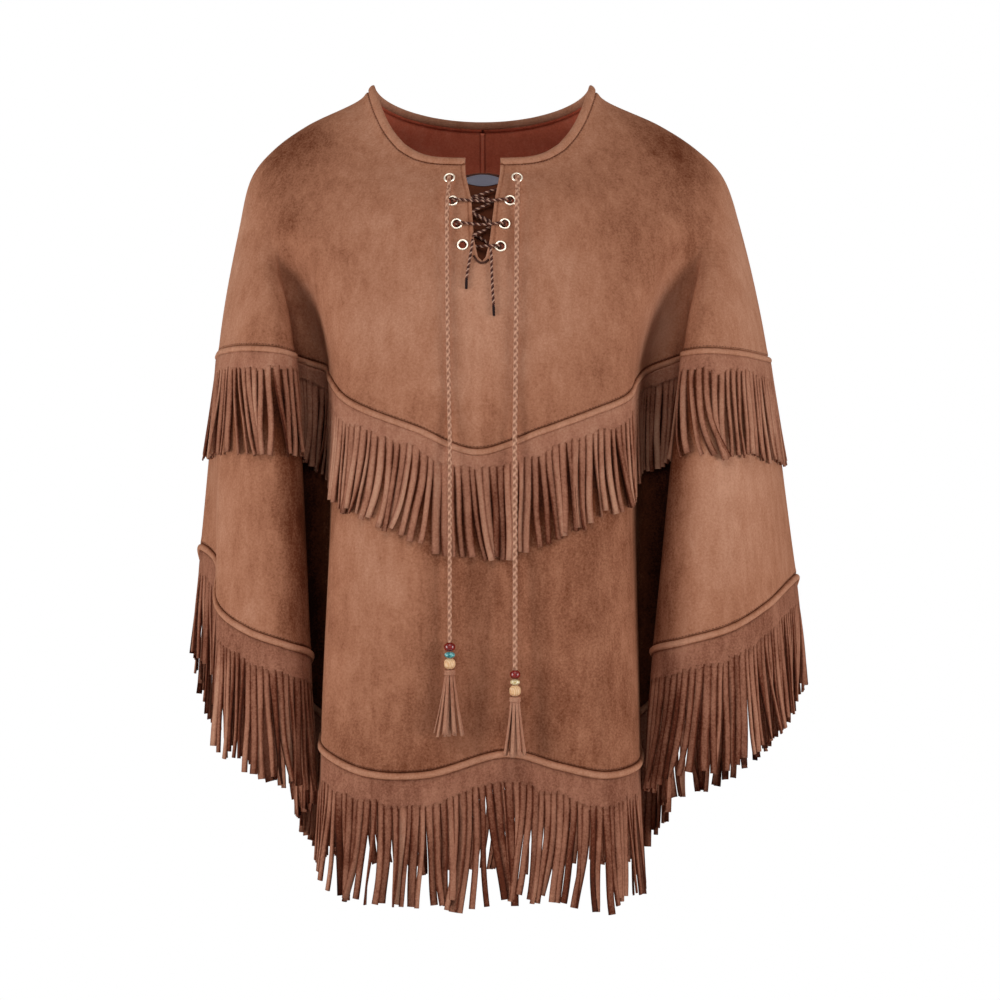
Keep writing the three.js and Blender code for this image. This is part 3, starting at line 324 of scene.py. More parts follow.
def textured(material, kind, inputs, scale=(1, 1, 1), **settings):
    """The factor of a texture over the object's own coordinates, which are scaled on each axis."""
    place = add_node(material, "ShaderNodeTexCoord").outputs["Object"]
    place = add_node(material, "ShaderNodeMapping", {"Vector": place, "Scale": scale}).outputs["Vector"]
    return add_node(material, kind, {"Vector": place, **inputs}, **settings).outputs["Fac"]


def mixed(material, share, one, other):
    """One factor mixed with a share of another."""
    return add_node(material, "ShaderNodeMix", {0: share, 2: one, 3: other}).outputs[0]


def kept_number(material, name):
    """The number that each point of a piece keeps under a name."""
    return add_node(material, "ShaderNodeAttribute", attribute_name=name).outputs["Fac"]


def tint(material, shader, factor, shades):
    """Colours a shader by a factor's ramp over sRGB shades, each given with its place from 0 to 1."""
    ramp = add_node(material, "ShaderNodeValToRGB", {"Fac": factor})
    while len(ramp.color_ramp.elements) < len(shades):
        ramp.color_ramp.elements.new(0.5)
    for element, (place, shade) in zip(ramp.color_ramp.elements, shades):
        element.position = place
        element.color = linear(shade)
    material.node_tree.links.new(ramp.outputs["Color"], shader.inputs["Base Color"])


def roughen(material, shader, heights):
    """Bumps over one another, each given as its height's factor, its strength and its distance."""
    under = {}
    for height, strength, distance in heights:
        bump = add_node(material, "ShaderNodeBump", {"Height": height, "Strength": strength,
                                                     "Distance": distance, **under})
        under = {"Normal": bump.outputs["Normal"]}
    material.node_tree.links.new(under["Normal"], shader.inputs["Normal"])


def suede(name, deep, dark, middle, light, nap=1.0):
    """Brushed suede. Its nap is pushed about in soft patches a few centimetres wide and in short upright
    strokes, which lighten and darken it, over a fine grain of fibres about 2 mm long. The tone kept at each
    point lightens or darkens it further: it is painted light and shade, and on the fringe also each strand's
    own random tone. The deepest shade is for the darkest painted shade, in the gullies."""
    material, shader = start_material(name, {
        "Roughness": 0.93, "IOR": 1.45, "Specular IOR Level": 0.08,
        "Sheen Weight": 0.08, "Sheen Roughness": 0.5, "Sheen Tint": linear("#d99a72"),
    })
    noise = "ShaderNodeTexNoise"
    patch = textured(material, noise, {"Scale": 19, "Detail": 4, "Distortion": 0.5})
    stroke = textured(material, noise, {"Scale": 110, "Detail": 4, "Roughness": 0.65}, (1, 1, 0.3))
    fibre = textured(material, noise, {"Scale": 520, "Detail": 3, "Roughness": 0.7})
    mottled = mixed(material, 0.4, mixed(material, 0.52, patch, stroke), fibre)
    brushed = add_node(material, "ShaderNodeMath", {0: kept_number(material, "tone"), 1: 0.1, 2: mottled},
                       operation="MULTIPLY_ADD")
    tint(material, shader, brushed.outputs[0], [(0.0, deep), (0.24, dark), (0.5, middle), (0.76, light)])
    roughen(material, shader, [(fibre, 0.5 * nap, 0.0008), (stroke, 0.25 * nap, 0.0015)])
    return material


# Suede of a warm brown, matt and mottled outside, and a smoother red brown on its underside.
SUEDE = suede("brushed suede", "#2e120c", "#683621", "#a87156", "#c69277")
INSIDE = suede("suede underside", "#4a1c12", "#a64c36", "#c8684e", "#d88066", nap=0.5)

# Painted light and shade on the cloth, as patches: a positive tone lightens it and a negative one darkens it.
# The darkest are painted shade in the gullies between the arms and the body.
PAINTED_LIGHT_AND_SHADE = [  # around, down, half width in folds, half height, tone
    (0.0, 0.6, 2.2, 0.4, 1.3),
    (8.0, 0.06, 5.5, 0.09, 0.9),
    (-8.0, 0.06, 5.5, 0.09, 0.5),
    (-3.4, 0.42, 1.6, 0.3, -0.6),
    (10.6, 1.45, 0.7, 0.4, -0.4),
    (-8.4, 1.45, 0.6, 0.5, -1.2),
    (5.4, 0.86, 1.3, 0.22, 2.2),
    (-5.4, 0.86, 1.3, 0.24, 3.2),
    (7.4, 0.84, 1.2, 0.2, 1.2),
    (-7.4, 0.84, 1.2, 0.2, 1.4),
    (11.8, 0.6, 1.6, 0.3, 2.2),
    (-11.4, 0.6, 1.6, 0.3, 1.7),
    (10.2, 0.3, 2.4, 0.14, -2.4),
    (-10.2, 0.3, 2.4, 0.14, -2.4),
    (6.4, 1.65, 1.7, 0.9, -5.3),
    (-6.4, 1.65, 1.7, 0.9, -4.9),
    (8.6, 1.5, 0.6, 0.5, -1.3),
    (11.4, 1.5, 1.3, 0.5, 1.0),
    (-9.8, 1.45, 2.0, 0.45, 1.9),
    (-1.0, 1.4, 3.8, 0.6, -1.3),
    (1.9, 1.35, 0.9, 0.35, 1.3),
    (0.5, 2.0, 4.2, 0.2, -0.9),
    (20.0, 0.5, 3.0, 0.3, 0.8),
    (26.5, 0.7, 3.0, 0.4, 0.7),
    (23.0, 1.5, 1.8, 0.5, -0.7),
]


def folds_beside(around, place):
    """How many fold lines a place lies beside another, the shorter way round the garment."""
    return (around - place + FOLD_COUNT / 2) % FOLD_COUNT - FOLD_COUNT / 2


def light_and_shade_tone(around, down):
    """The painted light and shade on the cloth: for each patch a bell round it, wide and high by its own
    sizes."""
    tone = np.zeros(np.broadcast(around, down).shape)
    for place, height, wide, high, amount in PAINTED_LIGHT_AND_SHADE:
        aside = folds_beside(around, place)
        tone = tone + amount * np.exp(-((aside / wide) ** 2) - ((down - height) / high) ** 2)
    return tone


# Main creases: where they start and end, their width and depth in metres, and how many fold lines they lean
# over on their way down.
CREASES = [  # around, down from, down to, width, depth, lean
    (5.9, 0.62, 1.02, 0.017, -0.0034, 0.15),
    (8.6, 0.7, 1.0, 0.014, 0.0018, -0.3),
    (-5.9, 0.58, 1.02, 0.018, -0.0036, -0.2),
    (-8.7, 0.66, 1.0, 0.015, 0.0016, 0.35),
    (1.9, 1.18, 2.0, 0.024, -0.0022, 0.25),
    (-1.3, 1.25, 2.0, 0.02, 0.002, -0.35),
    (-3.1, 1.12, 1.9, 0.026, -0.0018, 0.2),
    (3.3, 1.3, 2.0, 0.018, 0.0016, -0.15),
    (10.2, 1.15, 2.0, 0.022, -0.0016, 0.4),
    (-10.4, 1.2, 2.0, 0.02, -0.0018, -0.3),
    (16.3, 1.1, 2.0, 0.022, -0.002, 0.2),
    (19.6, 0.55, 1.1, 0.016, -0.002, 0.25),
    (21.6, 1.2, 2.0, 0.024, 0.0021, -0.2),
    (24.5, 1.25, 2.0, 0.021, -0.0019, 0.3),
    (27.3, 0.6, 1.15, 0.017, -0.0021, -0.2),
    (30.2, 1.1, 2.0, 0.023, -0.0017, -0.25),
]


def creases(around, down, spread):
    """How far the creases push the cloth out: for each, a bell across it, times a smooth rise and
    fall along it."""
    push = np.zeros(np.broadcast(around, down).shape)
    for place, start, end, width, depth, lean in CREASES:
        along = (down - start) / (end - start)
        aside = folds_beside(around, place + lean * along)
        fade = np.sin(np.pi * np.clip(along, 0, 1) ** 0.8) ** 0.7 * (np.abs(along - 0.5) < 0.5)
        push = push + depth * fade * np.exp(-((aside * spread / width) ** 2))
    return push


# Sewing beside the bound and piped edges: the row of stitches draws the suede in right next to
# the piping, and the seam allowances behind it raise the suede a little beyond that. At the plain
# seams, down both sides and the centre back, the suede dips between its two stitched edges.
PIPING = 0.0032  # radius of the piping
BINDING_WIDTH = 0.008
TUCKED = 0.0018  # how far the suede runs on under the binding and the pipings
DRAWN_IN = {"at": 0.0004, "width": 0.0009, "depth": 0.0013}
RAISED = {"at": 0.0034, "width": 0.0022, "height": 0.0003}
PLAIN_SEAM = {"width": 0.0013, "depth": 0.0009}
PLAIN_SEAMS = (RIGHT_SEAM, CENTRE_BACK, LEFT_SEAM)
# Painted shade in the grooves beside the binding, the pipings and the plain seams, as a tone.
SEAM_SHADE = -2.6
FRINGE_SHADOW = {"tone": -3.2, "at": 0.045, "width": 0.034}  # painted shadow of the yoke fringe on the skirt, just below the yoke seam
FLAT_EDGE = 0.02  # how far from a seam the creases fade out


def bell(distance, width):
    """A bell-shaped share, one at no distance."""
    return np.exp(-((distance / width) ** 2))


def sewn_relief(beside):
    """The relief at so many metres beside a seam: a sharp groove and then a soft rise."""
    groove = DRAWN_IN["depth"] * bell(beside - DRAWN_IN["at"], DRAWN_IN["width"])
    return RAISED["height"] * bell(beside - RAISED["at"], RAISED["width"]) - groove


def panel_rows(length, fine=0.0006, coarse=0.0045, edges=(True, True)):
    """Shares down a panel, fine beside its sewn edges and coarser between them."""
    places = [0.0]
    while places[-1] < length:
        beside = min(places[-1] if edges[0] else 1, length - places[-1] if edges[1] else 1)
        places.append(places[-1] + (fine if beside < 0.005 else min(coarse, fine + (beside - 0.005) * 0.5)))
    return np.array(places) / places[-1]


def panel_points(around, start, share, top, foot):
    """The points of a panel between two seams, and the tone painted on it there: painted light and shade,
    painted shade in the grooves beside its seams, and the fringe's painted shadow. start is 0 in the yoke and
    1 in the skirt, and top and foot are how far off the seams the binding or piping ends, under which the
    panel's edges are tucked."""
    length = length_down(around, start)
    place = top - TUCKED + share * (length - top - foot + 2 * TUCKED)
    down = start + place / length
    across, run, out, spread = cloth_ways(around, down)
    beside_top, beside_foot = place - top, length - foot - place
    plain = spread * np.min([np.abs(folds_beside(around, seam)) for seam in PLAIN_SEAMS], 0)
    relief = creases(around, down, spread) * np.clip(np.minimum(beside_top, beside_foot) / FLAT_EDGE, 0, 1)
    relief = relief + sewn_relief(beside_top) * (start == 0) + sewn_relief(beside_foot)
    relief = relief - PLAIN_SEAM["depth"] * bell(plain, PLAIN_SEAM["width"])
    # The yoke fringe's painted shadow on the skirt.
    shaded = FRINGE_SHADOW["tone"] * bell(beside_top - FRINGE_SHADOW["at"], FRINGE_SHADOW["width"]) * (start == 1)
    # Where the painted shade of the seams' grooves lies.
    sewn = bell(beside_foot, 0.0014) + bell(beside_top, 0.0014) * (start == 0) + bell(plain, 0.0011)
    return cloth(around, down) + out * relief[..., None], light_and_shade_tone(around, down) + SEAM_SHADE * sewn + shaded


def panel_columns(side):
    """The places round a panel: even steps between the fold lines, and fine ones at its two seams."""
    first, last = PANELS[side]
    even = np.linspace(first, last, (last - first) * COLUMNS + 1)
    return np.unique(np.concatenate([even, first + BESIDE_SEAM, last - BESIDE_SEAM]))


def thicken(piece, thick=CLOTH):
    """Gives a shell its thickness, half to each side, and its second material on the inside."""
    wall = piece.modifiers.new("thickness", "SOLIDIFY")
    wall.thickness, wall.offset, wall.material_offset = thick, 0, 1
    wall.use_even_offset = False


COLUMNS = 9  # steps between neighbouring fold lines
BESIDE_SEAM = np.array([0.02, 0.04, 0.07])  # in fold lines
for side in ("back_right", "back_left"):
    points, tone = panel_points(panel_columns(side), 0, panel_rows(0.25)[:, None], BINDING_WIDTH / 2, PIPING)
    yoke = grid_mesh("back_yoke_" + side[5:], points)
    keep_number(yoke, "tone", tone)
    yoke.data.materials.append(SUEDE)
    yoke.data.materials.append(INSIDE)
    thicken(yoke)
    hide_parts("yoke_" + side)

# The slit's edges: the x of each at a height.
SLIT = [  # z, wearer's right edge, wearer's left edge
    (-0.04, -0.0155, 0.0185),
    (-0.086, -0.0143, 0.0166),
    (-0.11, -0.009, 0.012),
    (-0.146, -0.0064, 0.0077),
    (-0.162, -0.0029, 0.0042),
    (-0.1655, 0.001, 0.001),
]
EYELET_PLACES = {
    "right_1": (-0.0283, -0.0895), "right_2": (-0.0257, -0.111),
    "right_3": (-0.0217, -0.132), "right_4": (-0.0163, -0.151),
    "left_1": (0.0316, -0.089), "left_2": (0.0255, -0.1106),
    "left_3": (0.0207, -0.132), "left_4": (0.017, -0.1523),
}
EYELET_CUT = 0.0044  # radius of the hole in the suede


def slit_edge(down, column):
    """Where the slit's edge lies, in fold lines, at each height: Newton's steps in around until the
    cloth's x is the edge's x at that z."""
    heights = np.array([z for z, _, _ in SLIT])[::-1]
    edges = np.array([row[column] for row in SLIT])[::-1]
    around = np.zeros_like(down)
    for _ in range(20):
        here = cloth(around, down)
        slope = (cloth(around + NUDGE, down)[..., 0] - here[..., 0]) / NUDGE
        around = around - (here[..., 0] - np.interp(here[..., 2], heights, edges)) / slope
    return around


FRONT_SIDE_STEPS = 124  # from the slit to a side seam, closer together near the slit
ROLLED = {"at": 0.0012, "width": 0.0012, "height": 0.0005, "stitched": 0.0032, "dip": 0.0004}
SLIT_FOOT = -0.166
centre_length = float(length_down(0.0, 0))
front_share = np.unique(np.concatenate([panel_rows(centre_length, coarse=0.0035),
                                        np.linspace(0, 0.42, 90)]))[:, None]
halves = []
for column, seam in ((1, RIGHT_SEAM), (2, LEFT_SEAM - FOLD_COUNT)):
    reach = centre_length - BINDING_WIDTH / 2 - PIPING + 2 * TUCKED
    edge_down = (BINDING_WIDTH / 2 - TUCKED + front_share[:, 0] * reach) / centre_length
    edge = slit_edge(edge_down, column)[:, None]
    step = np.linspace(0, 1, FRONT_SIDE_STEPS + 1)[None]
    around = edge + (seam - edge) * (step * 0.35 + 0.65 * step**2.2)
    points, tone = panel_points(around, 0, front_share, BINDING_WIDTH / 2, PIPING)
    # The slit's edges are turned under and stitched, so they are rolled, with a groove beside.
    _, _, out, spread = cloth_ways(around, edge_down[:, None])
    beside = np.abs(around - edge) * spread
    in_slit = np.clip((points[..., 2] - SLIT_FOOT) / 0.004, 0, 1)
    roll = (ROLLED["height"] * bell(beside - ROLLED["at"], ROLLED["width"])
            - ROLLED["dip"] * bell(beside - ROLLED["stitched"], 0.0006))
    # The groove beside each slit edge is painted darker: painted shade.
    tone = tone - 1.6 * in_slit * bell(beside - ROLLED["stitched"], 0.0009)
    halves.append((points + out * (in_slit * roll)[..., None], tone))
(right_points, right_tone), (left_points, left_tone) = halves
yoke_front = grid_mesh("front_yoke", right_points)
keep_number(yoke_front, "tone", right_tone)
left_half = grid_mesh("front_yoke_left", left_points[:, ::-1])
keep_number(left_half, "tone", left_tone[:, ::-1])
with_left = bmesh.new()
with_left.from_mesh(yoke_front.data)
with_left.from_mesh(left_half.data)
bmesh.ops.remove_doubles(with_left, verts=with_left.verts, dist=2e-5)
holes = [on_front([(x, z, 0)])[0] for x, z in EYELET_PLACES.values()]
inside_hole = [face for face in with_left.faces if face.calc_center_median().z > SLIT_FOOT
               and np.linalg.norm(np.array(face.calc_center_median()) - holes, axis=1).min() < EYELET_CUT]
bmesh.ops.delete(with_left, geom=inside_hole, context="FACES")
with_left.to_mesh(yoke_front.data)
with_left.free()
bpy.data.objects.remove(left_half)
yoke_front.data.materials.append(SUEDE)
yoke_front.data.materials.append(INSIDE)
thicken(yoke_front)
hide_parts("yoke_front")

# Skirt
# The skirt goes on from the yoke seam, one panel in front and two behind. It hangs in one broad
# fold over each arm, with a deep gully between the arm and the body.
for side in PANELS:
    points, tone = panel_points(panel_columns(side), 1, panel_rows(0.27)[:, None], PIPING, PIPING)
    skirt = grid_mesh("skirt_panel_" + side, points)
    keep_number(skirt, "tone", tone)
    skirt.data.materials.append(SUEDE)
    skirt.data.materials.append(INSIDE)
    thicken(skirt)
    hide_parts("skirt_" + side)

# The centre back's two seam allowances are turned to one side inside and topstitched, as a ridge.
ALLOWANCE = {"half": 0.0026, "high": 0.0016}
down = np.linspace(0.02, 1.985, 260)
across, _, out, _ = cloth_ways(np.full_like(down, CENTRE_BACK), down)
angle = (np.arange(16) + 0.5) / 16 * 2 * np.pi
middle = cloth(np.full_like(down, CENTRE_BACK), down) - out * (CLOTH / 2 + ALLOWANCE["high"] / 3)
rings = (middle[:, None] + across[:, None] * (ALLOWANCE["half"] * np.cos(angle))[None, :, None]
         + out[:, None] * (ALLOWANCE["high"] * np.sin(angle))[None, :, None])
centre_seam = grid_mesh("centre_back_seam_allowance", rings, round_it=True)
# The ridge is painted paler along its crown and much darker along its two sides: painted shade where it meets
# the cloth.
keep_number(centre_seam, "tone", np.tile(1.5 - 9 * np.abs(np.cos(angle)) ** 4, len(rings)))
centre_seam.data.materials.append(INSIDE)
mend(centre_seam)

# Pipings
# A cord wrapped in a strip of the same suede is sewn into the yoke seam, and another into the hem.
# Each stands out of its seam as a round ridge, with a painted highlight on its crown and painted shade above
# and below it, where it meets the cloth.
PIPING_LIFT = 0.0006  # how far it stands out of the cloth's middle
PIPING_SIDES = 16


def rolled_round(down, half_out, half_down, lift, around, sides=PIPING_SIDES):
    """A ring of points about the seam at each place round it: an ellipse across the seam, drawn out
    a little along its foot, where the strip's two edges are sewn together."""
    across, _, out, _ = cloth_ways(around, down)
    fall = np.cross(out, across)
    angle = (np.arange(sides) + 0.5) / sides * 2 * np.pi
    here = cloth(around, down)[:, None]
    return (here + out[:, None] * (lift + half_out * np.cos(angle))[None, :, None]
            - fall[:, None] * (half_down * np.sin(angle))[None, :, None])


pipings = {}
for seam, down in (("yoke", 1.0), ("hem", 2.0)):
    around = np.arange(FOLD_COUNT * 10) / 10
    rings = rolled_round(down, PIPING, PIPING, PIPING_LIFT, around)
    piping = grid_mesh(seam + "_seam_piping", np.concatenate([rings, rings[:1]]), round_it=True)
    angle = (np.arange(PIPING_SIDES) + 0.5) / PIPING_SIDES * 2 * np.pi
    # Painted highlight on the piping's crown and painted shade where it meets the cloth.
    piping_light_and_shade = 1.2 * np.cos(angle + 0.35) - 2.2 * np.abs(np.sin(angle)) ** 6
    keep_number(piping, "tone", np.tile(piping_light_and_shade, len(rings) + 1))
    mend(piping)
    piping.data.materials.append(SUEDE)
    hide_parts(seam + "_piping")
    pipings[seam] = piping

# Neck binding
# A strip of suede is folded over the neck's raw edge and stitched through, from one edge of the
# slit round the neck to the other.
BINDING_THICK = 0.0042
neck_edges = np.array([slit_edge(np.zeros(1), 1)[0], FOLD_COUNT + slit_edge(np.zeros(1), 2)[0]])
around = np.linspace(*neck_edges, 420)
rings = rolled_round(np.zeros(1), BINDING_THICK / 2, BINDING_WIDTH / 2, 0, around)
binding = grid_mesh("neck_binding_strip", rings, round_it=True)
mend(binding)
# The whole binding is painted paler: a painted highlight on its rolled edge.
keep_number(binding, "tone", np.full(len(binding.data.vertices), 0.9))
binding.data.materials.append(SUEDE)
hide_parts("neck_binding")

# Fringes
# Each fringe is a strip of suede sewn in under its piping and cut upwards into strands, which
# stop short of the seam. The uncut strip stays as a header.
YOKE_FRINGE = {"header": 0.017, "length": 0.096, "thick": 0.0012, "pitch": 0.0064, "bunch": 0.0062,
               "sway": 0.0024, "lift": 0.0042, "twist": 16, "turned": 0.1, "uneven": 0.009,
               "extra": [(-3, 0), (0, 0.003), (3, 0)], "tone": 0.0, "wide": 0.88}
HEM_FRINGE = {"header": 0.026, "length": 0.122, "thick": 0.0013, "pitch": 0.006, "bunch": 0.006,
              "sway": 0.0024, "lift": 0.0064, "twist": 18, "turned": 0.12, "uneven": 0.011,
              "extra": [(-17, 0), (-15, -0.012), (-13.4, -0.024), (-12.2, -0.01), (-11, 0), (-5, 0),
                        (-3.2, -0.008), (-2, -0.005), (-1.2, -0.0025), (-0.5, 0.006), (0, 0.014),
                        (0.4, 0.009), (1, -0.007), (1.4, -0.009), (1.9, -0.003), (2.4, -0.004),
                        (3, -0.014), (3.6, -0.014), (5, 0), (11, 0), (12.4, -0.014), (13.6, -0.026),
                        (15, -0.014), (17, 0)], "tone": -0.8, "wide": 0.98}
UNEVEN_CUTS = 0.0017  # how much some cuts run up further than others
LEANS = [  # around, how far the tips lean towards the wearer's right there, in metres
    (-13, 0.003), (-11.5, -0.006), (-9.5, 0.0), (-7.5, 0.002), (-4, -0.001), (0, 0.0), (2, 0.002),
    (3.4, 0.013), (5, 0.011), (7.5, -0.002), (9, -0.006), (10.4, 0.001), (11.6, 0.005), (13, 0.0),
    (16, 0.002), (20, -0.002), (23, 0.0), (27, 0.002), (33, 0.003),
]
ON_CLOTH = 0.0017  # the fringe's inner face above the cloth's middle
TURN_PLUMB = 0.07
LEAST_HEADER, UNDER_HEADER = 0.012, 0.003  # the header's least height, and how far strands start inside it


def square_to_run(around, down, square):
    """How far along the fold lines lies a place that is so far from a seam, square to it."""
    across, run, out, _ = cloth_ways(around, down)
    return square / np.maximum((run * np.cross(out, across)).sum(-1), 0.3)


def over_skirt(around, below, lift):
    """A place so far below the yoke seam along the fold lines, lifted off the cloth."""
    down = 1 + below / length_down(around, 1)
    return cloth(around, down) + cloth_ways(around, down)[2] * lift[..., None]


def under_hem(around, below, lift):
    """A place so far below the hem: the suede leaves along the skirt's slope and turns to hang
    plumb, as a square law until TURN_PLUMB."""
    across, run, out, _ = cloth_ways(around, 2.0)
    turning = np.minimum(below, TURN_PLUMB)
    plumb = (turning**2 / (2 * TURN_PLUMB) + below - turning)[..., None]
    return (cloth(around, 2.0) + run * (below[..., None] - plumb) + np.array([0, 0, -1.0]) * plumb
            + out * lift[..., None])


BOW = np.array([-1, -0.5, 0, 0.5, 1])
HOLLOW = 0.0007  # how far a strand's edges lie back from its middle
STRAND_EDGE_SHADE = 2.0  # painted shade along each strand's two edges: how much darker they are


def strands(middle, across, out, half, thick, hollow):
    """Flat strands. middle, across and out are arrays of strand by step: the strand's line and its
    section's two directions. The section is a flat bow: its edges lie back by hollow, and its
    faces are thick apart. The ends are cut off square."""
    back = -hollow[..., None] * BOW**2
    faces = []
    for side, order in ((1, slice(None)), (-1, slice(None, None, -1))):
        aside, deep = BOW[order], (back + side * thick / 2)[..., order]
        faces.append(middle[:, :, None] + across[:, :, None] * (half[..., None] * aside)[..., None]
                     + out[:, :, None] * deep[..., None])
    points = np.concatenate(faces, axis=2)
    count, steps, round_it = points.shape[:3]
    at = np.arange(count * steps * round_it).reshape(count, steps, round_it)
    ahead = np.roll(at, -1, axis=2)
    sides = np.stack([at[:, :-1], ahead[:, :-1], ahead[:, 1:], at[:, 1:]], -1).reshape(-1, 4)
    ends = np.concatenate([at[:, 0], at[:, -1, ::-1]])
    return points.reshape(-1, 3), sides.tolist() + ends.tolist()


def smooth_chance(chance, count, window):
    """Numbers that wander smoothly from strand to strand, of about the size one."""
    weights = np.hanning(window)
    weights = weights / np.sqrt((weights**2).sum())
    return np.convolve(chance.normal(0, 1, count + window - 1), weights, "valid")[:, None]


def header_strip(place, cuts, upper, lower, base, thick):
    """The uncut strip above the strands: its front is bowed over each strand more and more towards
    its foot, by a square law, so that shallow grooves run up from the cuts."""
    share = np.linspace(0, 1, 8)[:, None]
    between = np.linspace(0, 1, 5)[None, :-1]
    columns = np.append((cuts[:-1, None] * (1 - between) + cuts[1:, None] * between).ravel(), cuts[-1])
    top = np.interp(columns, cuts, upper)
    rows = top + share * (np.interp(columns, cuts, lower) - top)
    bow = np.append(np.tile(np.linspace(-1, 1, 5)[:-1], len(cuts) - 1), -1)
    sink = -HOLLOW * bow**2 * share**2.5
    around = columns[None] + 0 * rows
    sheet = np.stack([place(around, rows, base + thick / 2 + sink),
                      place(around, rows, base - thick / 2 + 0 * rows)])
    at = np.arange(sheet[..., 0].size).reshape(sheet.shape[:3])
    front = np.stack([at[0, :-1, :-1], at[0, :-1, 1:], at[0, 1:, 1:], at[0, 1:, :-1]], -1).reshape(-1, 4)
    behind = np.stack([at[1, :-1, :-1], at[1, 1:, :-1], at[1, 1:, 1:], at[1, :-1, 1:]], -1).reshape(-1, 4)
    rim = [np.concatenate([side[0], side[1:, -1], side[-1, -2::-1], side[-2:0:-1, 0]]) for side in at]
    edge = np.stack([rim[0], rim[1], np.roll(rim[1], -1), np.roll(rim[0], -1)], -1)
    return sheet.reshape(-1, 3), np.concatenate([front, behind, edge]).tolist()


def fringe(name, panel, down, size, seed):
    """A header strip and its strands, whose length changes round the garment by the rows of extra,
    with the tone and the mean width of a strand as its size says. The strands hang in bunches that
    lean together, and each one sways, lifts and twists a little by its own share, which grows
    towards its tip. A few are turned edge on."""
    chance = np.random.default_rng(seed)
    first, last = panel
    place = over_skirt if down == 1.0 else under_hem
    base = ON_CLOTH + size["thick"] / 2 if down == 1.0 else 0.0
    fine = np.linspace(first, last, 2000)
    arc = np.append(0, np.cumsum(length_of(np.diff(cloth(fine, down), axis=0))))
    count = round(arc[-1] / size["pitch"])
    uneven_cuts = np.pad(chance.normal(0, 0.0006, count - 1), 1)
    cuts = np.interp(np.linspace(0, arc[-1], count + 1) + uneven_cuts, arc, fine)
    lower = np.maximum(square_to_run(cuts, down, size["header"]), LEAST_HEADER)
    ragged = smooth_chance(chance, count + 1, 7)[:, 0] + 0.6 * chance.normal(0, 1, count + 1)
    lower = lower + UNEVEN_CUTS * ragged
    points, faces = header_strip(place, cuts, np.full(count + 1, PIPING * 0.9), lower, base, size["thick"])

    t = np.linspace(0, 1, 14)[None]
    centre = ((cuts[1:] + cuts[:-1]) / 2)[:, None] + 0 * t
    begin = ((lower[1:] + lower[:-1]) / 2)[:, None] - UNDER_HEADER
    short = 0.5 * chance.random((count, 1)) ** 2 + 0.2 * np.abs(smooth_chance(chance, count, 7))
    places, extra = np.array(size["extra"]).T
    at = (centre[:, :1] + 1.5 * FOLD_COUNT) % FOLD_COUNT - FOLD_COUNT / 2
    length = size["length"] + np.interp(at, places, extra)
    below = begin + t * (length - size["header"] + UNDER_HEADER - size["uneven"] * short)
    at_seam = np.full(below.shape, down)
    across, _, _, spread = cloth_ways(centre, at_seam)
    leans = np.interp(centre[:, :1], [row[0] for row in LEANS], [row[1] for row in LEANS])
    lean = leans + size["bunch"] * smooth_chance(chance, count, 10)
    lean = lean + size["sway"] * chance.normal(0, 1, (count, 1))
    phase = chance.uniform(0, 6, (count, 1))
    wave = size["sway"] * 0.5 * (np.sin(t * np.pi * 1.7 + phase) - np.sin(phase))
    lift = base + size["lift"] * (0.1 + chance.random((count, 1))) * t**1.3
    turned = np.where(chance.random((count, 1)) < size["turned"], chance.choice([-60, 60], (count, 1)), 0)
    twist = size["twist"] * chance.normal(0, 1, (count, 1)) * np.clip(t / 0.25, 0, 1)
    twist = np.radians(twist + turned * t**1.6)
    middle = place(centre + (lean * t**1.8 + wave * t) / spread, below, lift)
    run = unit(np.gradient(middle, axis=1))
    across = unit(across - run * (across * run).sum(-1, keepdims=True))
    out = np.cross(across, run)
    across, out = (across * np.cos(twist)[..., None] + out * np.sin(twist)[..., None],
                   out * np.cos(twist)[..., None] - across * np.sin(twist)[..., None])
    width = length_of(cloth(cuts[1:], down) - cloth(cuts[:-1], down))
    wide = 1 - (1 - size["wide"] - 0.09 * chance.normal(0, 1, (count, 1))) * np.clip(t / 0.15, 0, 1)
    half = width / 2 * np.clip(wide, 0.62, 1.08)
    strand_points, strand_faces = strands(middle, across, out, half, size["thick"], HOLLOW + 0 * half)
    piece = new_piece(name, np.concatenate([points, strand_points]),
                      faces + [[corner + len(points) for corner in face] for face in strand_faces])
    section = np.append(BOW, BOW)
    # Each strand keeps its own random tone, growing towards its tip, less the painted shade along its edges.
    own = 0.9 * chance.normal(0, 1, (count, 1)) * np.repeat(t[0] ** 0.5, len(section))
    own = own - STRAND_EDGE_SHADE * np.tile(section**4, len(t[0]))
    keep_number(piece, "tone", np.concatenate([np.zeros(len(points)), own.ravel()]) + size["tone"])
    return piece


# The same suede in shades of its own for the strands and tassels: a darker dark shade and a pinker light one.
FRINGE_SUEDE = suede("cut suede", "#2e140d", "#5f2f1f", "#a57059", "#c5967c")
fringes = {}
for side in PANELS:
    for seam, down, size, seed in (("yoke", 1.0, YOKE_FRINGE, 11), ("hem", 2.0, HEM_FRINGE, 23)):
        piece = fringe(f"{seam}_strands_{side}", PANELS[side], down, size, seed + len(fringes))
        piece.data.materials.append(FRINGE_SUEDE)
        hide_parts(f"{seam}_fringe_{side}")
        fringes[seam, side] = piece

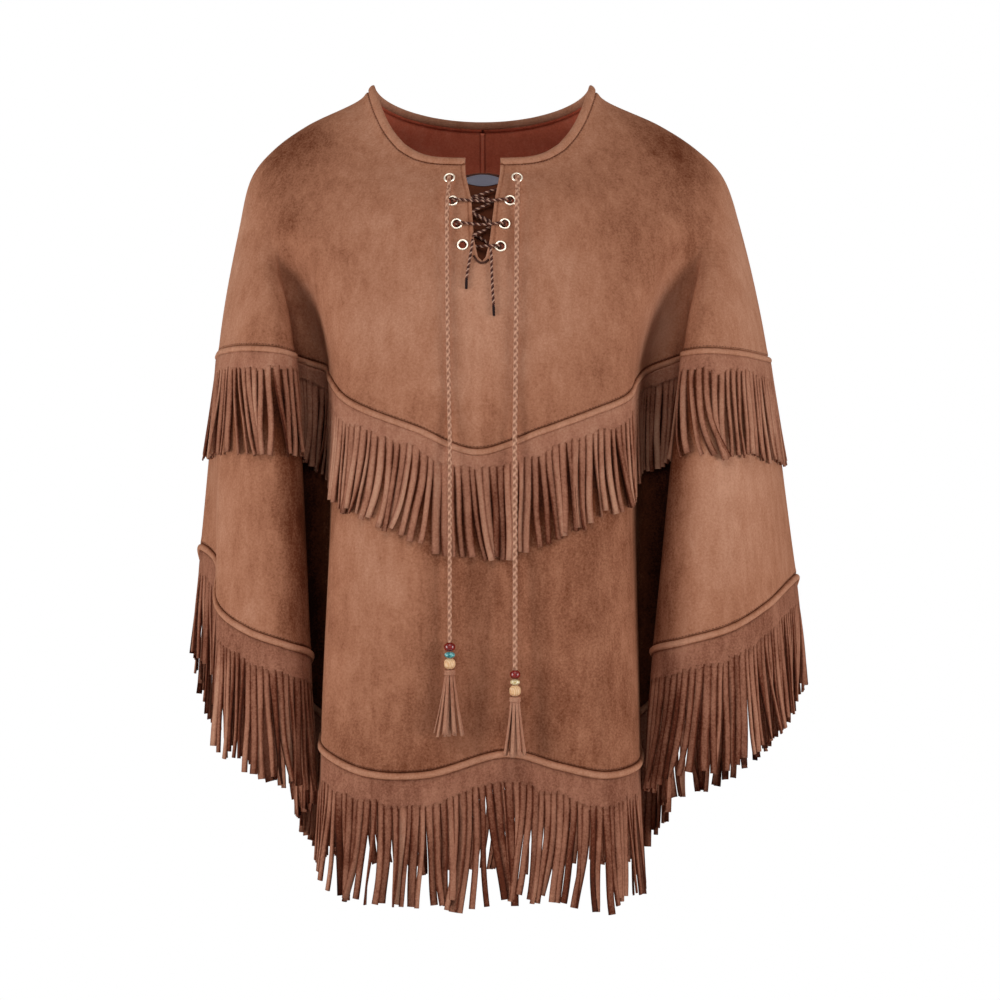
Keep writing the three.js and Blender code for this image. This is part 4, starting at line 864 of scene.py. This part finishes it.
# The cut of each panel: the box round it and its own area, both in metres.
CUTS = {  # yoke and its area, skirt and its area
    "front": ((0.95, 0.36), 0.165, (1.3, 0.34), 0.295),
    "back_right": ((0.37, 0.33), 0.071, (0.55, 0.33), 0.12),
    "back_left": ((0.38, 0.33), 0.075, (0.54, 0.33), 0.126),
}
for side, (yoke_cut, yoke_area, skirt_cut, skirt_area) in CUTS.items():
    yoke_edges, skirt_edges = [fringes["yoke", side]], [fringes["hem", side]]
    if side == "front":
        yoke_edges = [pipings["yoke"], binding, *yoke_edges]
        skirt_edges = [pipings["hem"], *skirt_edges]

# Eyelets
# Eight nickel-plated rings are pressed through the suede, four on each side of the slit, and are
# rolled over it before and behind.
EYELET = {"hole": 0.0033, "flange": 0.0054, "wall": 0.0007, "face": 0.0011}


def turned(profile, sides, here, out, up):
    """A closed profile of radius and height turned about an axis that stands on here along out."""
    angle = np.arange(sides) / sides * 2 * np.pi
    radius, height = np.array(profile).T
    side = unit(np.cross(up, out))
    other = np.cross(out, side)
    round_it = side * np.cos(angle)[:, None] + other * np.sin(angle)[:, None]
    return here + round_it[None] * radius[:, None, None] + out * height[:, None, None]


def turned_piece(name, profile, sides, here, out, up=(0.0, 0.0, 1.0)):
    """A turned piece as a closed mesh, with its last ring joined to its first."""
    rings = turned([*profile, profile[0]], sides, np.asarray(here), np.asarray(out), np.asarray(up))
    piece = grid_mesh(name, rings, round_it=True)
    mend(piece)
    return piece


def rolled_profile(hole, flange, wall, face):
    """An eyelet's section: its barrel, whose ends roll outwards over both faces of the suede in
    half rounds."""
    roll = (flange - hole) / 2
    turn = np.linspace(0, np.pi, 9)
    upper = [(hole + roll - roll * np.cos(a), face + wall * 1.5 * np.sin(a)) for a in turn]
    lower = [(flange - roll + roll * np.cos(a), -face - wall * 1.5 * np.sin(a)) for a in turn]
    return [*upper, (flange - 0.0003, face - 0.0002), (hole + wall, face - 0.0003),
            (hole + wall, -face + 0.0003), (flange - 0.0003, -face + 0.0002), *lower]


# Nickel plate on brass: a warm, bright metal, hazed and scuffed unevenly.
nickel, nickel_shader = start_material("nickel plate", {"Metallic": 1.0})
haze = textured(nickel, "ShaderNodeTexNoise", {"Scale": 900, "Detail": 3})
tint(nickel, nickel_shader, haze, [(0.3, "#d8c7b0"), (0.55, "#f4e6d4")])
scuffed = add_node(nickel, "ShaderNodeMapRange", {"Value": haze, "To Min": 0.22, "To Max": 0.42})
nickel.node_tree.links.new(scuffed.outputs["Result"], nickel_shader.inputs["Roughness"])
for name, (x, z) in EYELET_PLACES.items():
    around, down = find_front(np.array([x]), np.array([z]))
    eyelet = turned_piece("eyelet_ring_" + name, rolled_profile(**EYELET), 28,
                          cloth(around, down)[0], cloth_ways(around, down)[2][0])
    eyelet.data.materials.append(nickel)
    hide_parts("eyelet_" + name)

# Tongue
# A strip of dark woven cloth is sewn in behind the slit by its foot, so that its top hangs free
# behind the lacing, with a plain satin ribbon along it.
TONGUE_THICK, RIBBON_THICK = 0.0014, 0.0006
TONGUE_MIDDLE = 0.0015
TONGUE = [  # z, half width, how far its middle stands out of the cloth's middle
    (-0.08, 0.02, -0.0085),
    (-0.11, 0.019, -0.0085),
    (-0.136, 0.017, -0.008),
    (-0.156, 0.015, -0.007),
    (-0.174, 0.012, -0.0021),
]
TONGUE_TOP, TONGUE_FOOT, TONGUE_ARCH = -0.08, -0.174, 0.003


def tongue_places(top, foot, half, arch, rise):
    """The x and z of a sheet on the tongue: straight down its sides, with its top arched up by arch
    in the middle and its foot curved down there by rise, both as parabolas."""
    heights = np.linspace(top, foot, 40)
    rows = np.array(TONGUE)[::-1]
    widths = np.interp(heights, rows[:, 0], rows[:, 1]) if half is None else np.full(40, half)
    share, part = np.linspace(0, 1, 40)[:, None], np.linspace(-1, 1, 31)[None]
    x = TONGUE_MIDDLE - part * widths[:, None]
    return x, heights[:, None] + part**2 * (rise * share - arch * (1 - share))


def over_tongue(x, z, off):
    """Points so far out of the tongue's middle."""
    rows = np.array(TONGUE)[::-1]
    around, down = find_front(x, z)
    lift = np.interp(z, rows[:, 0], rows[:, 2]) + off
    return cloth(around, down) + cloth_ways(around, down)[2] * lift[..., None]


tongue_x, tongue_z = tongue_places(TONGUE_TOP, TONGUE_FOOT, None, TONGUE_ARCH, 0)
tongue = grid_mesh("tongue_cloth", over_tongue(tongue_x, tongue_z, 0))
thicken(tongue, TONGUE_THICK)
# Ribbed cotton, dark red brown, with a paler thread on each rib.
tongue_weave, tongue_shader = start_material("dark woven cloth", {
    "Roughness": 0.9, "Specular IOR Level": 0.1})
ribs = textured(tongue_weave, "ShaderNodeTexWave", {"Scale": 330, "Distortion": 0.6}, bands_direction="Z")
tint(tongue_weave, tongue_shader, ribs, [(0.2, "#3a1a13"), (0.9, "#84492f")])
roughen(tongue_weave, tongue_shader, [(ribs, 0.5, 0.0004)])
tongue.data.materials.append(tongue_weave)
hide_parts("slit_tongue")

RIBBON_OFF = TONGUE_THICK / 2 + 0.0003 + RIBBON_THICK / 2
RIBBON_TOP, RIBBON_FOOT, RIBBON_HALF = -0.0812, -0.0922, 0.0165
ribbon_x, ribbon_z = tongue_places(RIBBON_TOP, RIBBON_FOOT, RIBBON_HALF, 0.0034, 0.0036)
ribbon = grid_mesh("ribbon_plain", over_tongue(ribbon_x, ribbon_z, RIBBON_OFF))
thicken(ribbon, RIBBON_THICK)
# Grey satin, which shines along its floating threads.
satin, satin_shader = start_material("satin ribbon", {
    "Roughness": 0.32, "Anisotropic": 0.5, "Sheen Weight": 0.3})
floats = textured(satin, "ShaderNodeTexWave", {"Scale": 420, "Distortion": 0.3}, bands_direction="X")
tint(satin, satin_shader, floats, [(0.1, "#3c3a48"), (0.9, "#8d8a9c")])
ribbon.data.materials.append(satin)
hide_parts("tongue_ribbon")

# Lacing
# A thin cord of dark and tan yarns is laced zigzag through the lower eyelets, over the tongue, and
# is held by the eyelets alone.
LACE_RADIUS = 0.0013


def smooth_route(points, spacing):
    """A smooth curve through given points, at even steps of about the given length."""
    line = smooth_line([p for p in np.asarray(points)[:, None]], steps=40)[0]
    return even_steps(line, max(round(length_of(np.diff(line, axis=0)).sum() / spacing), 2))


def carried_ways(line):
    """Two directions square to a line at each of its points, carried along it without twisting."""
    run = unit(np.gradient(line, axis=0))
    side = unit(np.cross(run[0], (0.3, 0.9, 0.2)))
    sides = []
    for way in run:
        side = side - way * side.dot(way)
        side = side / np.linalg.norm(side)
        sides.append(side)
    return np.array(sides), np.cross(run, sides)


def cord_mesh(name, line, sides, radius_at):
    """A cord along a line of points. radius_at(turn, length) gives its radius at each angle round
    it and each length along it, as one array."""
    side, other = carried_ways(line)
    turn = np.arange(sides)[None] / sides * 2 * np.pi
    along = np.append(0, np.cumsum(length_of(np.diff(line, axis=0))))[:, None]
    radius = radius_at(turn, along)
    points = line[:, None] + (side[:, None] * np.cos(turn)[..., None]
                              + other[:, None] * np.sin(turn)[..., None]) * radius[..., None]
    cord = grid_mesh(name, points, round_it=True)
    mend(cord, 1e-7)
    return cord, turn, along


LAY = 0.0052  # one turn of the lace's yarns
PLIES = 3


def ply_depths(turn, along, radius):
    """Three yarns twisted together: each yarn is a circle off the middle, and where the cord's
    surface is, is the furthest of the three. Gives all three, yarn by yarn."""
    offset, ply = 0.46 * radius, 0.56 * radius
    depths = []
    for k in range(PLIES):
        away = turn - 2 * np.pi * (along / LAY + k / PLIES)
        root = np.maximum(ply**2 - (offset * np.sin(away)) ** 2, 0)
        depths.append(offset * np.cos(away) + np.sqrt(root) - 10 * (np.abs(offset * np.sin(away)) > ply))
    return np.stack(depths)


def lace_cord(name, line, waxed=0.0):
    """A length of the twisted lace. Each point keeps how pale its yarn is: one yarn in three is tan,
    and none is within the waxed length at the end."""
    cord, turn, along = cord_mesh(name, line, 14, lambda a, s: ply_depths(a, s, LACE_RADIUS).max(0) / 1.02)
    pale = np.choose(ply_depths(turn, along, LACE_RADIUS).argmax(0), [0.05, 0.3, 1.0])
    keep_number(cord, "yarn", np.where(along > along[-1] - waxed, -0.6, pale))
    cord.data.materials.append(LACE_YARN)
    return cord


# Waxed cotton yarns, two dark brown and one tan, which gives the lace its flecks, and black tips.
LACE_YARN, lace_shader = start_material("waxed cotton lace", {"Roughness": 0.7, "Specular IOR Level": 0.15})
fuzz = textured(LACE_YARN, "ShaderNodeTexNoise", {"Scale": 1500, "Detail": 2})
tint(LACE_YARN, lace_shader, mixed(LACE_YARN, 0.3, kept_number(LACE_YARN, "yarn"), fuzz),
     [(0.1, "#1c0c0e"), (0.3, "#4f2a22"), (0.5, "#7a4e3e"), (0.85, "#b99380")])
roughen(LACE_YARN, lace_shader, [(fuzz, 0.4, 0.0003)])


def through_eyelet(name):
    """A pass through an eyelet: from the slit over its flange, down its hole, and back behind the
    cloth. Each point is x, z and lift."""
    x, z = EYELET_PLACES[name]
    to_slit = 1 if name.startswith("right") else -1
    return [(x + to_slit * way, z, lift) for way, lift in
            ((0.0026, 0.004), (0.0002, 0.0026), (0.0002, -0.0026), (0.0026, -0.0041))]


# Up over the tongue in a zigzag inside the slit, and down again in straight bars over the slit.
LACE_ROUTE = [
    (-0.0072, -0.1444, 0.0029), (-0.0046, -0.141, 0.0014), (0.002, -0.137, -0.0022),
    (0.0088, -0.1314, -0.0028), (0.0006, -0.1256, -0.0027), (-0.0084, -0.12, -0.0028),
    (0.0008, -0.1146, -0.0027), (0.0106, -0.1094, -0.0028), (0.0015, -0.1068, -0.0027),
    (-0.0096, -0.1062, -0.0029), (0.001, -0.1024, -0.0029), (0.0146, -0.0982, -0.0034),
    (0.0202, -0.1032, -0.0046),
    *through_eyelet("left_2")[::-1],
    (0.0128, -0.1112, 0.003), (0.001, -0.1116, 0.002), (-0.0114, -0.1114, 0.003),
    *through_eyelet("right_2"),
    (-0.011, -0.1172, -0.0052), (0.0, -0.1226, -0.0057), (0.0104, -0.128, -0.0054),
    *through_eyelet("left_3")[::-1],
    (0.0106, -0.1326, 0.003), (0.001, -0.133, 0.002), (-0.009, -0.1326, 0.003),
    *through_eyelet("right_3"),
    (-0.0095, -0.1376, -0.005), (0.0, -0.143, -0.0052), (0.008, -0.1486, -0.0046),
    *through_eyelet("left_4")[::-1],
    (0.008, -0.1524, 0.0028), (0.0026, -0.152, 0.0012), (-0.0004, -0.1516, -0.0012),
    (-0.0034, -0.151, -0.0029), (-0.0074, -0.1504, -0.003),
]
lacing = lace_cord("lace_laced", smooth_route(on_front(LACE_ROUTE), 0.0004))
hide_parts("lacing")

# Lace tails
# The lace's two free ends hang over the yoke below the slit, with their tips dipped in black wax
# so that they don't fray.
TAILS = {
    "right": [(-0.0074, -0.1466, 0.003), (-0.0086, -0.156, 0.0032), (-0.011, -0.17, 0.0028),
              (-0.0126, -0.181, 0.0028), (-0.013, -0.1908, 0.0028)],
    "left": [(0.0082, -0.1542, 0.003), (0.0089, -0.161, 0.0032), (0.0092, -0.173, 0.0028),
             (0.01, -0.19, 0.0028), (0.0108, -0.204, 0.0028), (0.0113, -0.2147, 0.0028)],
}
for side, route in TAILS.items():
    line = smooth_route(on_front(route), 0.0004)
    tail = lace_cord("lace_end_" + side, line, waxed=0.009)
    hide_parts("lace_tail_" + side)

# Drawcords
# A round braid of four tan suede thongs hangs from each top eyelet. It is knotted behind the
# yoke, which holds it there, and comes out through the eyelet and over its rim.
CORD_RADIUS = {"right": 0.0018, "left": 0.0021}
BRAID_PITCH = 0.0066  # of the cord for each turn of a thong


def braid_height(turn, along):
    """Four thongs, two turning each way. Each is a rounded ridge along its own helix, and where
    they cross, one rides over the other by turns, by the product of the two waves' halves."""
    wound = 2 * np.pi * along / BRAID_PITCH
    one, other = 2 * turn + wound, 2 * turn - wound
    over = 0.35 * np.cos(one / 2) * np.cos(other / 2)
    return np.maximum(np.cos(one) * 0.5 + over, np.cos(other) * 0.5 - over)


def braided(name, line, radius):
    """A length of the braid, with its height kept at each point for its painted light and shade."""
    def radius_at(turn, along):
        return radius * (0.93 + 0.1 * braid_height(turn, along))

    cord, turn, along = cord_mesh(name, line, 20, radius_at)
    keep_number(cord, "height", braid_height(turn, along))
    cord.data.materials.append(BRAID)
    return cord


# Tan suede cut into thongs, with painted light and shade by the braid's height: paler on the thongs' ridges
# and darker where they cross.
BRAID, braid_shader = start_material("braided thongs", {
    "Roughness": 0.88, "Specular IOR Level": 0.12, "Sheen Weight": 0.08, "Sheen Tint": linear("#e0bfa5")})
fibre = textured(BRAID, "ShaderNodeTexNoise", {"Scale": 1400, "Detail": 2})
tint(BRAID, braid_shader, mixed(BRAID, 0.25, kept_number(BRAID, "height"), fibre),
     [(0.0, "#90634f"), (0.35, "#b7866d"), (0.7, "#d2a389")])
roughen(BRAID, braid_shader, [(fibre, 0.3, 0.0003)])

KNOT = [  # lift, radius
    (-0.0096, 0.0018), (-0.0086, 0.004), (-0.0062, 0.0049), (-0.0037, 0.004), (-0.0026, 0.0022),
]
OVER_RIM = [  # z from the eyelet's middle, lift
    (0.0003, 0.0023), (-0.0024, 0.0049), (-0.0065, 0.0051), (-0.013, 0.004),
]
HANG_STEP = 0.042
CORDS = {
    "right": {
        "over_yoke": [(-0.0285, -0.103, 0.0054), (-0.0293, -0.111, 0.0062), (-0.0297, -0.121, 0.0055),
                      (-0.0298, -0.132, 0.0052), (-0.0298, -0.146, 0.0042), (-0.0296, -0.18, 0.004),
                      (-0.029, -0.24, 0.004), (-0.028, -0.296, 0.0042), (-0.0276, -0.326, 0.007)],
        "hang": (-0.027, -0.1645, -0.352), "end": -0.5222, "length": 0.43,
    },
    "left": {
        "over_yoke": [(0.0315, -0.103, 0.0052), (0.0313, -0.111, 0.006), (0.0311, -0.121, 0.005),
                      (0.031, -0.146, 0.0042), (0.0308, -0.18, 0.0041), (0.0304, -0.24, 0.0042),
                      (0.03, -0.296, 0.0044), (0.0298, -0.325, 0.007)],
        "hang": (0.0296, -0.165, -0.352), "end": -0.5456, "length": 0.455,
    },
}
drawcords, cord_lines = {}, {}
for side, cord in CORDS.items():
    x, z = EYELET_PLACES[side + "_1"]
    held = on_front([(x, z, lift) for lift, _ in KNOT] + [(x, z + up, lift) for up, lift in OVER_RIM])
    root_line = smooth_route(held, 0.0005)
    along = np.append(0, np.cumsum(length_of(np.diff(root_line, axis=0))))
    knot_at = np.append(0, np.cumsum(length_of(np.diff(held, axis=0))))[: len(KNOT)]
    at_ends = CORD_RADIUS[side]
    knot = [max(radius, at_ends) for _, radius in KNOT]
    thick = np.interp(along, knot_at, knot, right=at_ends)[:, None]
    root = braided("drawcord_held_" + side, root_line, thick)
    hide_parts("drawcord_root_" + side)

    x, y, top = cord["hang"]
    falls = np.append(np.arange(top, cord["end"] + HANG_STEP / 4, -HANG_STEP), cord["end"])
    line = smooth_route(np.concatenate([on_front(cord["over_yoke"]), [(x, y, z) for z in falls]]), 0.0005)
    drawcord = braided("drawcord_free_" + side, line, CORD_RADIUS[side])
    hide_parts("drawcord_" + side)
    drawcords[side], cord_lines[side] = drawcord, line

# Beads and tassels
# Each drawcord runs through three beads into a tassel, which is a strip of suede cut into thongs
# and rolled up into a bound head.
BEADS = {  # cord, z of the middle, radius, height
    "red_right": ("right", -0.5026, 0.0049, 0.0076),
    "turquoise_right": ("right", -0.5095, 0.0045, 0.005),
    "wood_right": ("right", -0.5171, 0.005, 0.0094),
    "red_left": ("left", -0.5264, 0.0045, 0.0074),
    "pale_left": ("left", -0.533, 0.0042, 0.0046),
    "wood_left": ("left", -0.5405, 0.005, 0.0094),
}
BEAD_HOLE = 0.0024
UP, BACK = (0.0, 0.0, 1.0), (0.0, 1.0, 0.0)


def bead_profile(radius, high):
    """A bead's section: a rounded side, fuller than an ellipse's, cut off where its hole comes out."""
    level = np.linspace(-1, 1, 25)
    bulge = np.maximum(radius * np.sqrt(1 - 0.95 * np.abs(level) ** 2.7), BEAD_HOLE)
    return [*zip(bulge, level * high / 2)]


def glossy(name, shades, scale, rough):
    """Lacquered or glass beads: a clear gloss over a colour that is cloudy at the given scale."""
    material, shader = start_material(name, {
        "Roughness": rough, "IOR": 1.5, "Specular IOR Level": 0.35,
        "Coat Weight": 0.3, "Coat Roughness": 0.05})
    cloud = textured(material, "ShaderNodeTexNoise", {"Scale": scale, "Detail": 4})
    tint(material, shader, cloud, shades)
    return material


# Pale maple, turned and waxed, with its grain slanting across the bead.
wood, wood_shader = start_material("turned maple", {
    "Roughness": 0.42, "IOR": 1.5, "Specular IOR Level": 0.3, "Coat Weight": 0.1, "Coat Roughness": 0.25})
grain = textured(wood, "ShaderNodeTexWave", {"Scale": 260, "Distortion": 5, "Detail": 3}, (1, 1, 0.3),
                 bands_direction="DIAGONAL")
tint(wood, wood_shader, grain, [(0.0, "#dba877"), (0.5, "#e6b98b"), (1.0, "#efc9a0")])
# Clear dark red lacquer, and clouded glass in turquoise and cream.
BEAD_FINISHES = {
    "red": glossy("red lacquer", [(0.3, "#520907"), (0.7, "#95160d")], 300, 0.16),
    "turquoise": glossy("turquoise glass",
                        [(0.35, "#1d6a70"), (0.5, "#4aa3a6"), (0.7, "#a5d6d2")], 420, 0.16),
    "pale": glossy("cream glass", [(0.35, "#c9ac6c"), (0.6, "#efe2c0")], 380, 0.2),
    "wood": wood,
}
on_cords = {"right": [], "left": []}
for name, (side, z, radius, high) in BEADS.items():
    x, y, _ = CORDS[side]["hang"]
    bead = turned_piece("bead_turned_" + name, bead_profile(radius, high), 32, (x, y, z), UP, BACK)
    kind = name.split("_")[0]
    bead.data.materials.append(BEAD_FINISHES[kind])
    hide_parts("bead_" + name)
    on_cords[side].append(bead)

TASSEL = {"head_high": 0.0045, "thick": 0.0009, "width": 0.0031}
TASSEL_RINGS = [  # thongs, radius at the head, spread at the foot
    (10, 0.0038, 0.0098),
    (7, 0.0016, 0.0045),
]
TASSEL_FALLS = {"right": (0.059, 1.0, 5), "left": (0.053, 0.7, 8)}  # length, share of the spread, seed
TASSEL_DEPTH = 0.5  # of its spread to the sides, because it lies against the skirt


def tassel_points(x, y, top, length, opens, seed):
    """The thongs' lines, two rings of them: each falls straight from its place in the head and
    spreads outwards, a little more towards its foot, and less to the front and back."""
    chance = np.random.default_rng(seed)
    rings = [(k, count, inner, outer) for count, inner, outer in TASSEL_RINGS for k in range(count)]
    number, count, radius, spread = np.array(rings).T[:, :, None]
    angle = (number + chance.normal(0, 0.1, number.shape)) / count * 2 * np.pi
    t = np.linspace(0, 1, 10)[None]
    fall = length - TASSEL["head_high"] - 0.004 * chance.random(angle.shape)
    out = np.stack([np.cos(angle), np.sin(angle), 0 * angle], -1)
    away = opens * spread * (0.7 * t + 0.3 * t**2) * chance.uniform(0.8, 1.1, angle.shape)
    flat = out * np.array([1, TASSEL_DEPTH, 0])
    middle = np.array([x, y, top]) + out * radius[..., None] + flat * away[..., None]
    middle = middle + np.array([0, 0, -1.0]) * (fall * t)[..., None]
    across = np.broadcast_to(np.stack([-np.sin(angle), np.cos(angle), 0 * angle], -1), middle.shape)
    half = TASSEL["width"] / 2 * (0.75 + 0.25 * t) + 0 * angle
    out = np.broadcast_to(out, middle.shape)
    return strands(middle, across, out, half, TASSEL["thick"], 0.0003 + 0 * half)


# The head's section, as radius and height: a strip wound round, whose edges show as two grooves.
HEAD = [(0.0004, -1.0), (0.0046, -1.0), (0.0051, -0.62), (0.0045, -0.5), (0.0051, -0.36),
        (0.0047, -0.09), (0.0041, 0.0), (0.0004, 0.0), (0.0004, -1.0)]
for side, cord in CORDS.items():
    x, y, _ = cord["hang"]
    top, head_high = cord["end"] - 0.0003, TASSEL["head_high"]
    points, faces = tassel_points(x, y, top - head_high + 0.001, *TASSEL_FALLS[side])
    section = [(radius, level * head_high) for radius, level in HEAD]
    rings = turned(section, 24, np.array([x, y, top]), np.array(UP), np.array(BACK))
    at = np.arange(rings[..., 0].size).reshape(rings.shape[:2])
    beside = np.roll(at, -1, axis=1)
    head_faces = np.stack([at[:-1], beside[:-1], beside[1:], at[1:]], -1).reshape(-1, 4)
    tassel = new_piece("tassel_thongs_" + side, np.concatenate([points, rings.reshape(-1, 3)]),
                       faces + (head_faces + len(points)).tolist())
    mend(tassel)
    keep_number(tassel, "tone", np.full(len(tassel.data.vertices), 0.9))
    tassel.data.materials.append(FRINGE_SUEDE)
    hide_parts("tassel_" + side)
    line = cord_lines[side]

# Stitching
# Brown waxed thread: a row of stitches beside the binding and each piping, and a thick bar tack
# across the slit's foot. The tongue's top is turned over a thin cord.
THREAD = 0.00028  # radius
STITCH, STITCH_STEP = 0.0023, 0.0031
# Polyester thread, dark brown and waxed, lighter and darker with its twist.
sewing_thread, thread_shader = start_material("waxed brown thread", {
    "Roughness": 0.7, "Specular IOR Level": 0.2})
twist = textured(sewing_thread, "ShaderNodeTexNoise", {"Scale": 2200, "Detail": 2})
tint(sewing_thread, thread_shader, twist, [(0.3, "#2c1610"), (0.7, "#5b3426")])


def stitches(name, around, down, lift):
    """A row of stitches along the cloth: each an ellipsoid STITCH long, on the line through the
    given places at their lift."""
    line = cloth(around, down) + cloth_ways(around, down)[2] * lift
    line = even_steps(line, round(length_of(np.diff(line, axis=0)).sum() / STITCH_STEP))
    run = unit(np.gradient(line, axis=0))
    side = unit(np.cross(run, (0.02, 0.03, 1.0)))
    other = np.cross(run, side)
    way, turn = np.linspace(-1, 1, 5), np.arange(6) / 6 * 2 * np.pi
    thick = THREAD * np.sqrt(1.02 - way**2)
    rings = (run[:, None, None] * (way * STITCH / 2)[None, :, None, None]
             + side[:, None, None] * (thick[:, None] * np.cos(turn))[None, ..., None]
             + other[:, None, None] * (thick[:, None] * np.sin(turn))[None, ..., None]) + line[:, None, None]
    at = np.arange(rings[..., 0].size).reshape(rings.shape[:3])
    ahead = np.roll(at, -1, axis=2)
    sides = np.stack([at[:, :-1], ahead[:, :-1], ahead[:, 1:], at[:, 1:]], -1).reshape(-1, 4)
    ends = np.concatenate([at[:, 0, ::-1], at[:, -1]])
    row = new_piece(name, rings.reshape(-1, 3), sides.tolist() + ends.tolist())
    mend(row, 1e-7)
    row.data.materials.append(sewing_thread)
    return row


all_round = np.linspace(0, FOLD_COUNT, 1600)
beside_piping = PIPING + 0.0018
stitches("yoke_seam_stitches", all_round, 1 - beside_piping / length_down(all_round, 0), CLOTH / 2)
stitches("hem_seam_stitches", all_round, 2 - beside_piping / length_down(all_round, 1), CLOTH / 2)
beside_neck = np.linspace(neck_edges[0] + 0.25, neck_edges[1] - 0.25, 900)
below_neck = BINDING_WIDTH / 2 + 0.0014
stitches("binding_stitches", beside_neck, below_neck / length_down(beside_neck, 0), CLOTH / 2)
TACK_ROUTE = [(-0.0064, -0.1609, 0.0012), (-0.0035, -0.1655, 0.0018), (0.0002, -0.1675, 0.002),
              (0.0036, -0.1668, 0.0018), (0.0066, -0.1642, 0.0012)]
TACK = {"radius": 0.0009, "ridge": 0.00012, "step": 0.0007}


def tack_radius(turn, along):
    """The bar tack's radius: small ridges, wound like the thread round its core."""
    return TACK["radius"] + TACK["ridge"] * np.sin(along * 2 * np.pi / TACK["step"] + turn)


bar_tack, _, _ = cord_mesh("slit_bar_tack", smooth_route(on_front(TACK_ROUTE), 0.0003), 10, tack_radius)
bar_tack.data.materials.append(sewing_thread)
rim_line = even_steps(over_tongue(tongue_x[0], tongue_z[0], 0.0003), 80)
RIM_RADIUS = 0.0011
tongue_rim, _, _ = cord_mesh("tongue_top_hem", rim_line, 10, lambda turn, s: RIM_RADIUS + 0 * turn * s)
tongue_rim.data.materials.append(sewing_thread)

# Stage and light
# A pale floor below, where the wearer would stand, in a white studio. Two broad soft lights stand
# at both sides, level with the garment, so that its folds are lit and its hollows stay dark. A
# third shines down on the shoulders and into the neck, and a fourth on the back.
FLOOR_DROP, FLOOR_HALF = -1.45, 3.0
corners = [(-1, -1), (1, -1), (1, 1), (-1, 1)]
floor = bpy.data.objects.new("floor", bpy.data.meshes.new("floor"))
floor.data.from_pydata([(x * FLOOR_HALF, y * FLOOR_HALF, FLOOR_DROP) for x, y in corners], [], [(0, 1, 2, 3)])
bpy.context.collection.objects.link(floor)
# Plain pale studio board.
floor_material, _ = start_material("pale floor", {"Base Color": linear("#f4f4f4"), "Roughness": 0.9})
floor.data.materials.append(floor_material)

LIGHTS = [  # name, place, size, power
    ("left side", (-2.5, -1.35, -0.4), 1.2, 42),
    ("right side", (2.5, -1.35, -0.4), 1.2, 38),
    ("top", (0.0, -2.0, 1.4), 1.4, 21),
    ("behind", (0.0, 2.6, 0.3), 1.6, 22),
]
AIM = Vector((0.0, 0.0, -0.42))
for name, place, size, power in LIGHTS:
    lamp = bpy.data.lights.new(name, "AREA")
    lamp.size, lamp.energy = size, power
    holder = bpy.data.objects.new(name, lamp)
    holder.location = place
    holder.rotation_euler = (AIM - Vector(place)).to_track_quat("-Z", "Y").to_euler()
    bpy.context.collection.objects.link(holder)
world = bpy.data.worlds.new("studio")
bpy.context.scene.world = world
world.use_nodes = True
studio = world.node_tree.nodes["Background"]
studio.inputs["Color"].default_value = (1, 1, 1, 1)
# The studio's walls look white but light the garment little: the share of their strength that is
# taken off for the garment's diffuse and glossy light.
ray = add_node(world, "ShaderNodeLightPath").outputs
dimmed = add_node(world, "ShaderNodeMath", {0: ray["Is Diffuse Ray"], 1: -0.88, 2: 1.0},
                  operation="MULTIPLY_ADD")
dimmed = add_node(world, "ShaderNodeMath", {0: ray["Is Glossy Ray"], 1: -0.3, 2: dimmed.outputs[0]},
                  operation="MULTIPLY_ADD")
world.node_tree.links.new(dimmed.outputs[0], studio.inputs["Strength"])
bpy.context.scene.view_settings.view_transform = "Standard"
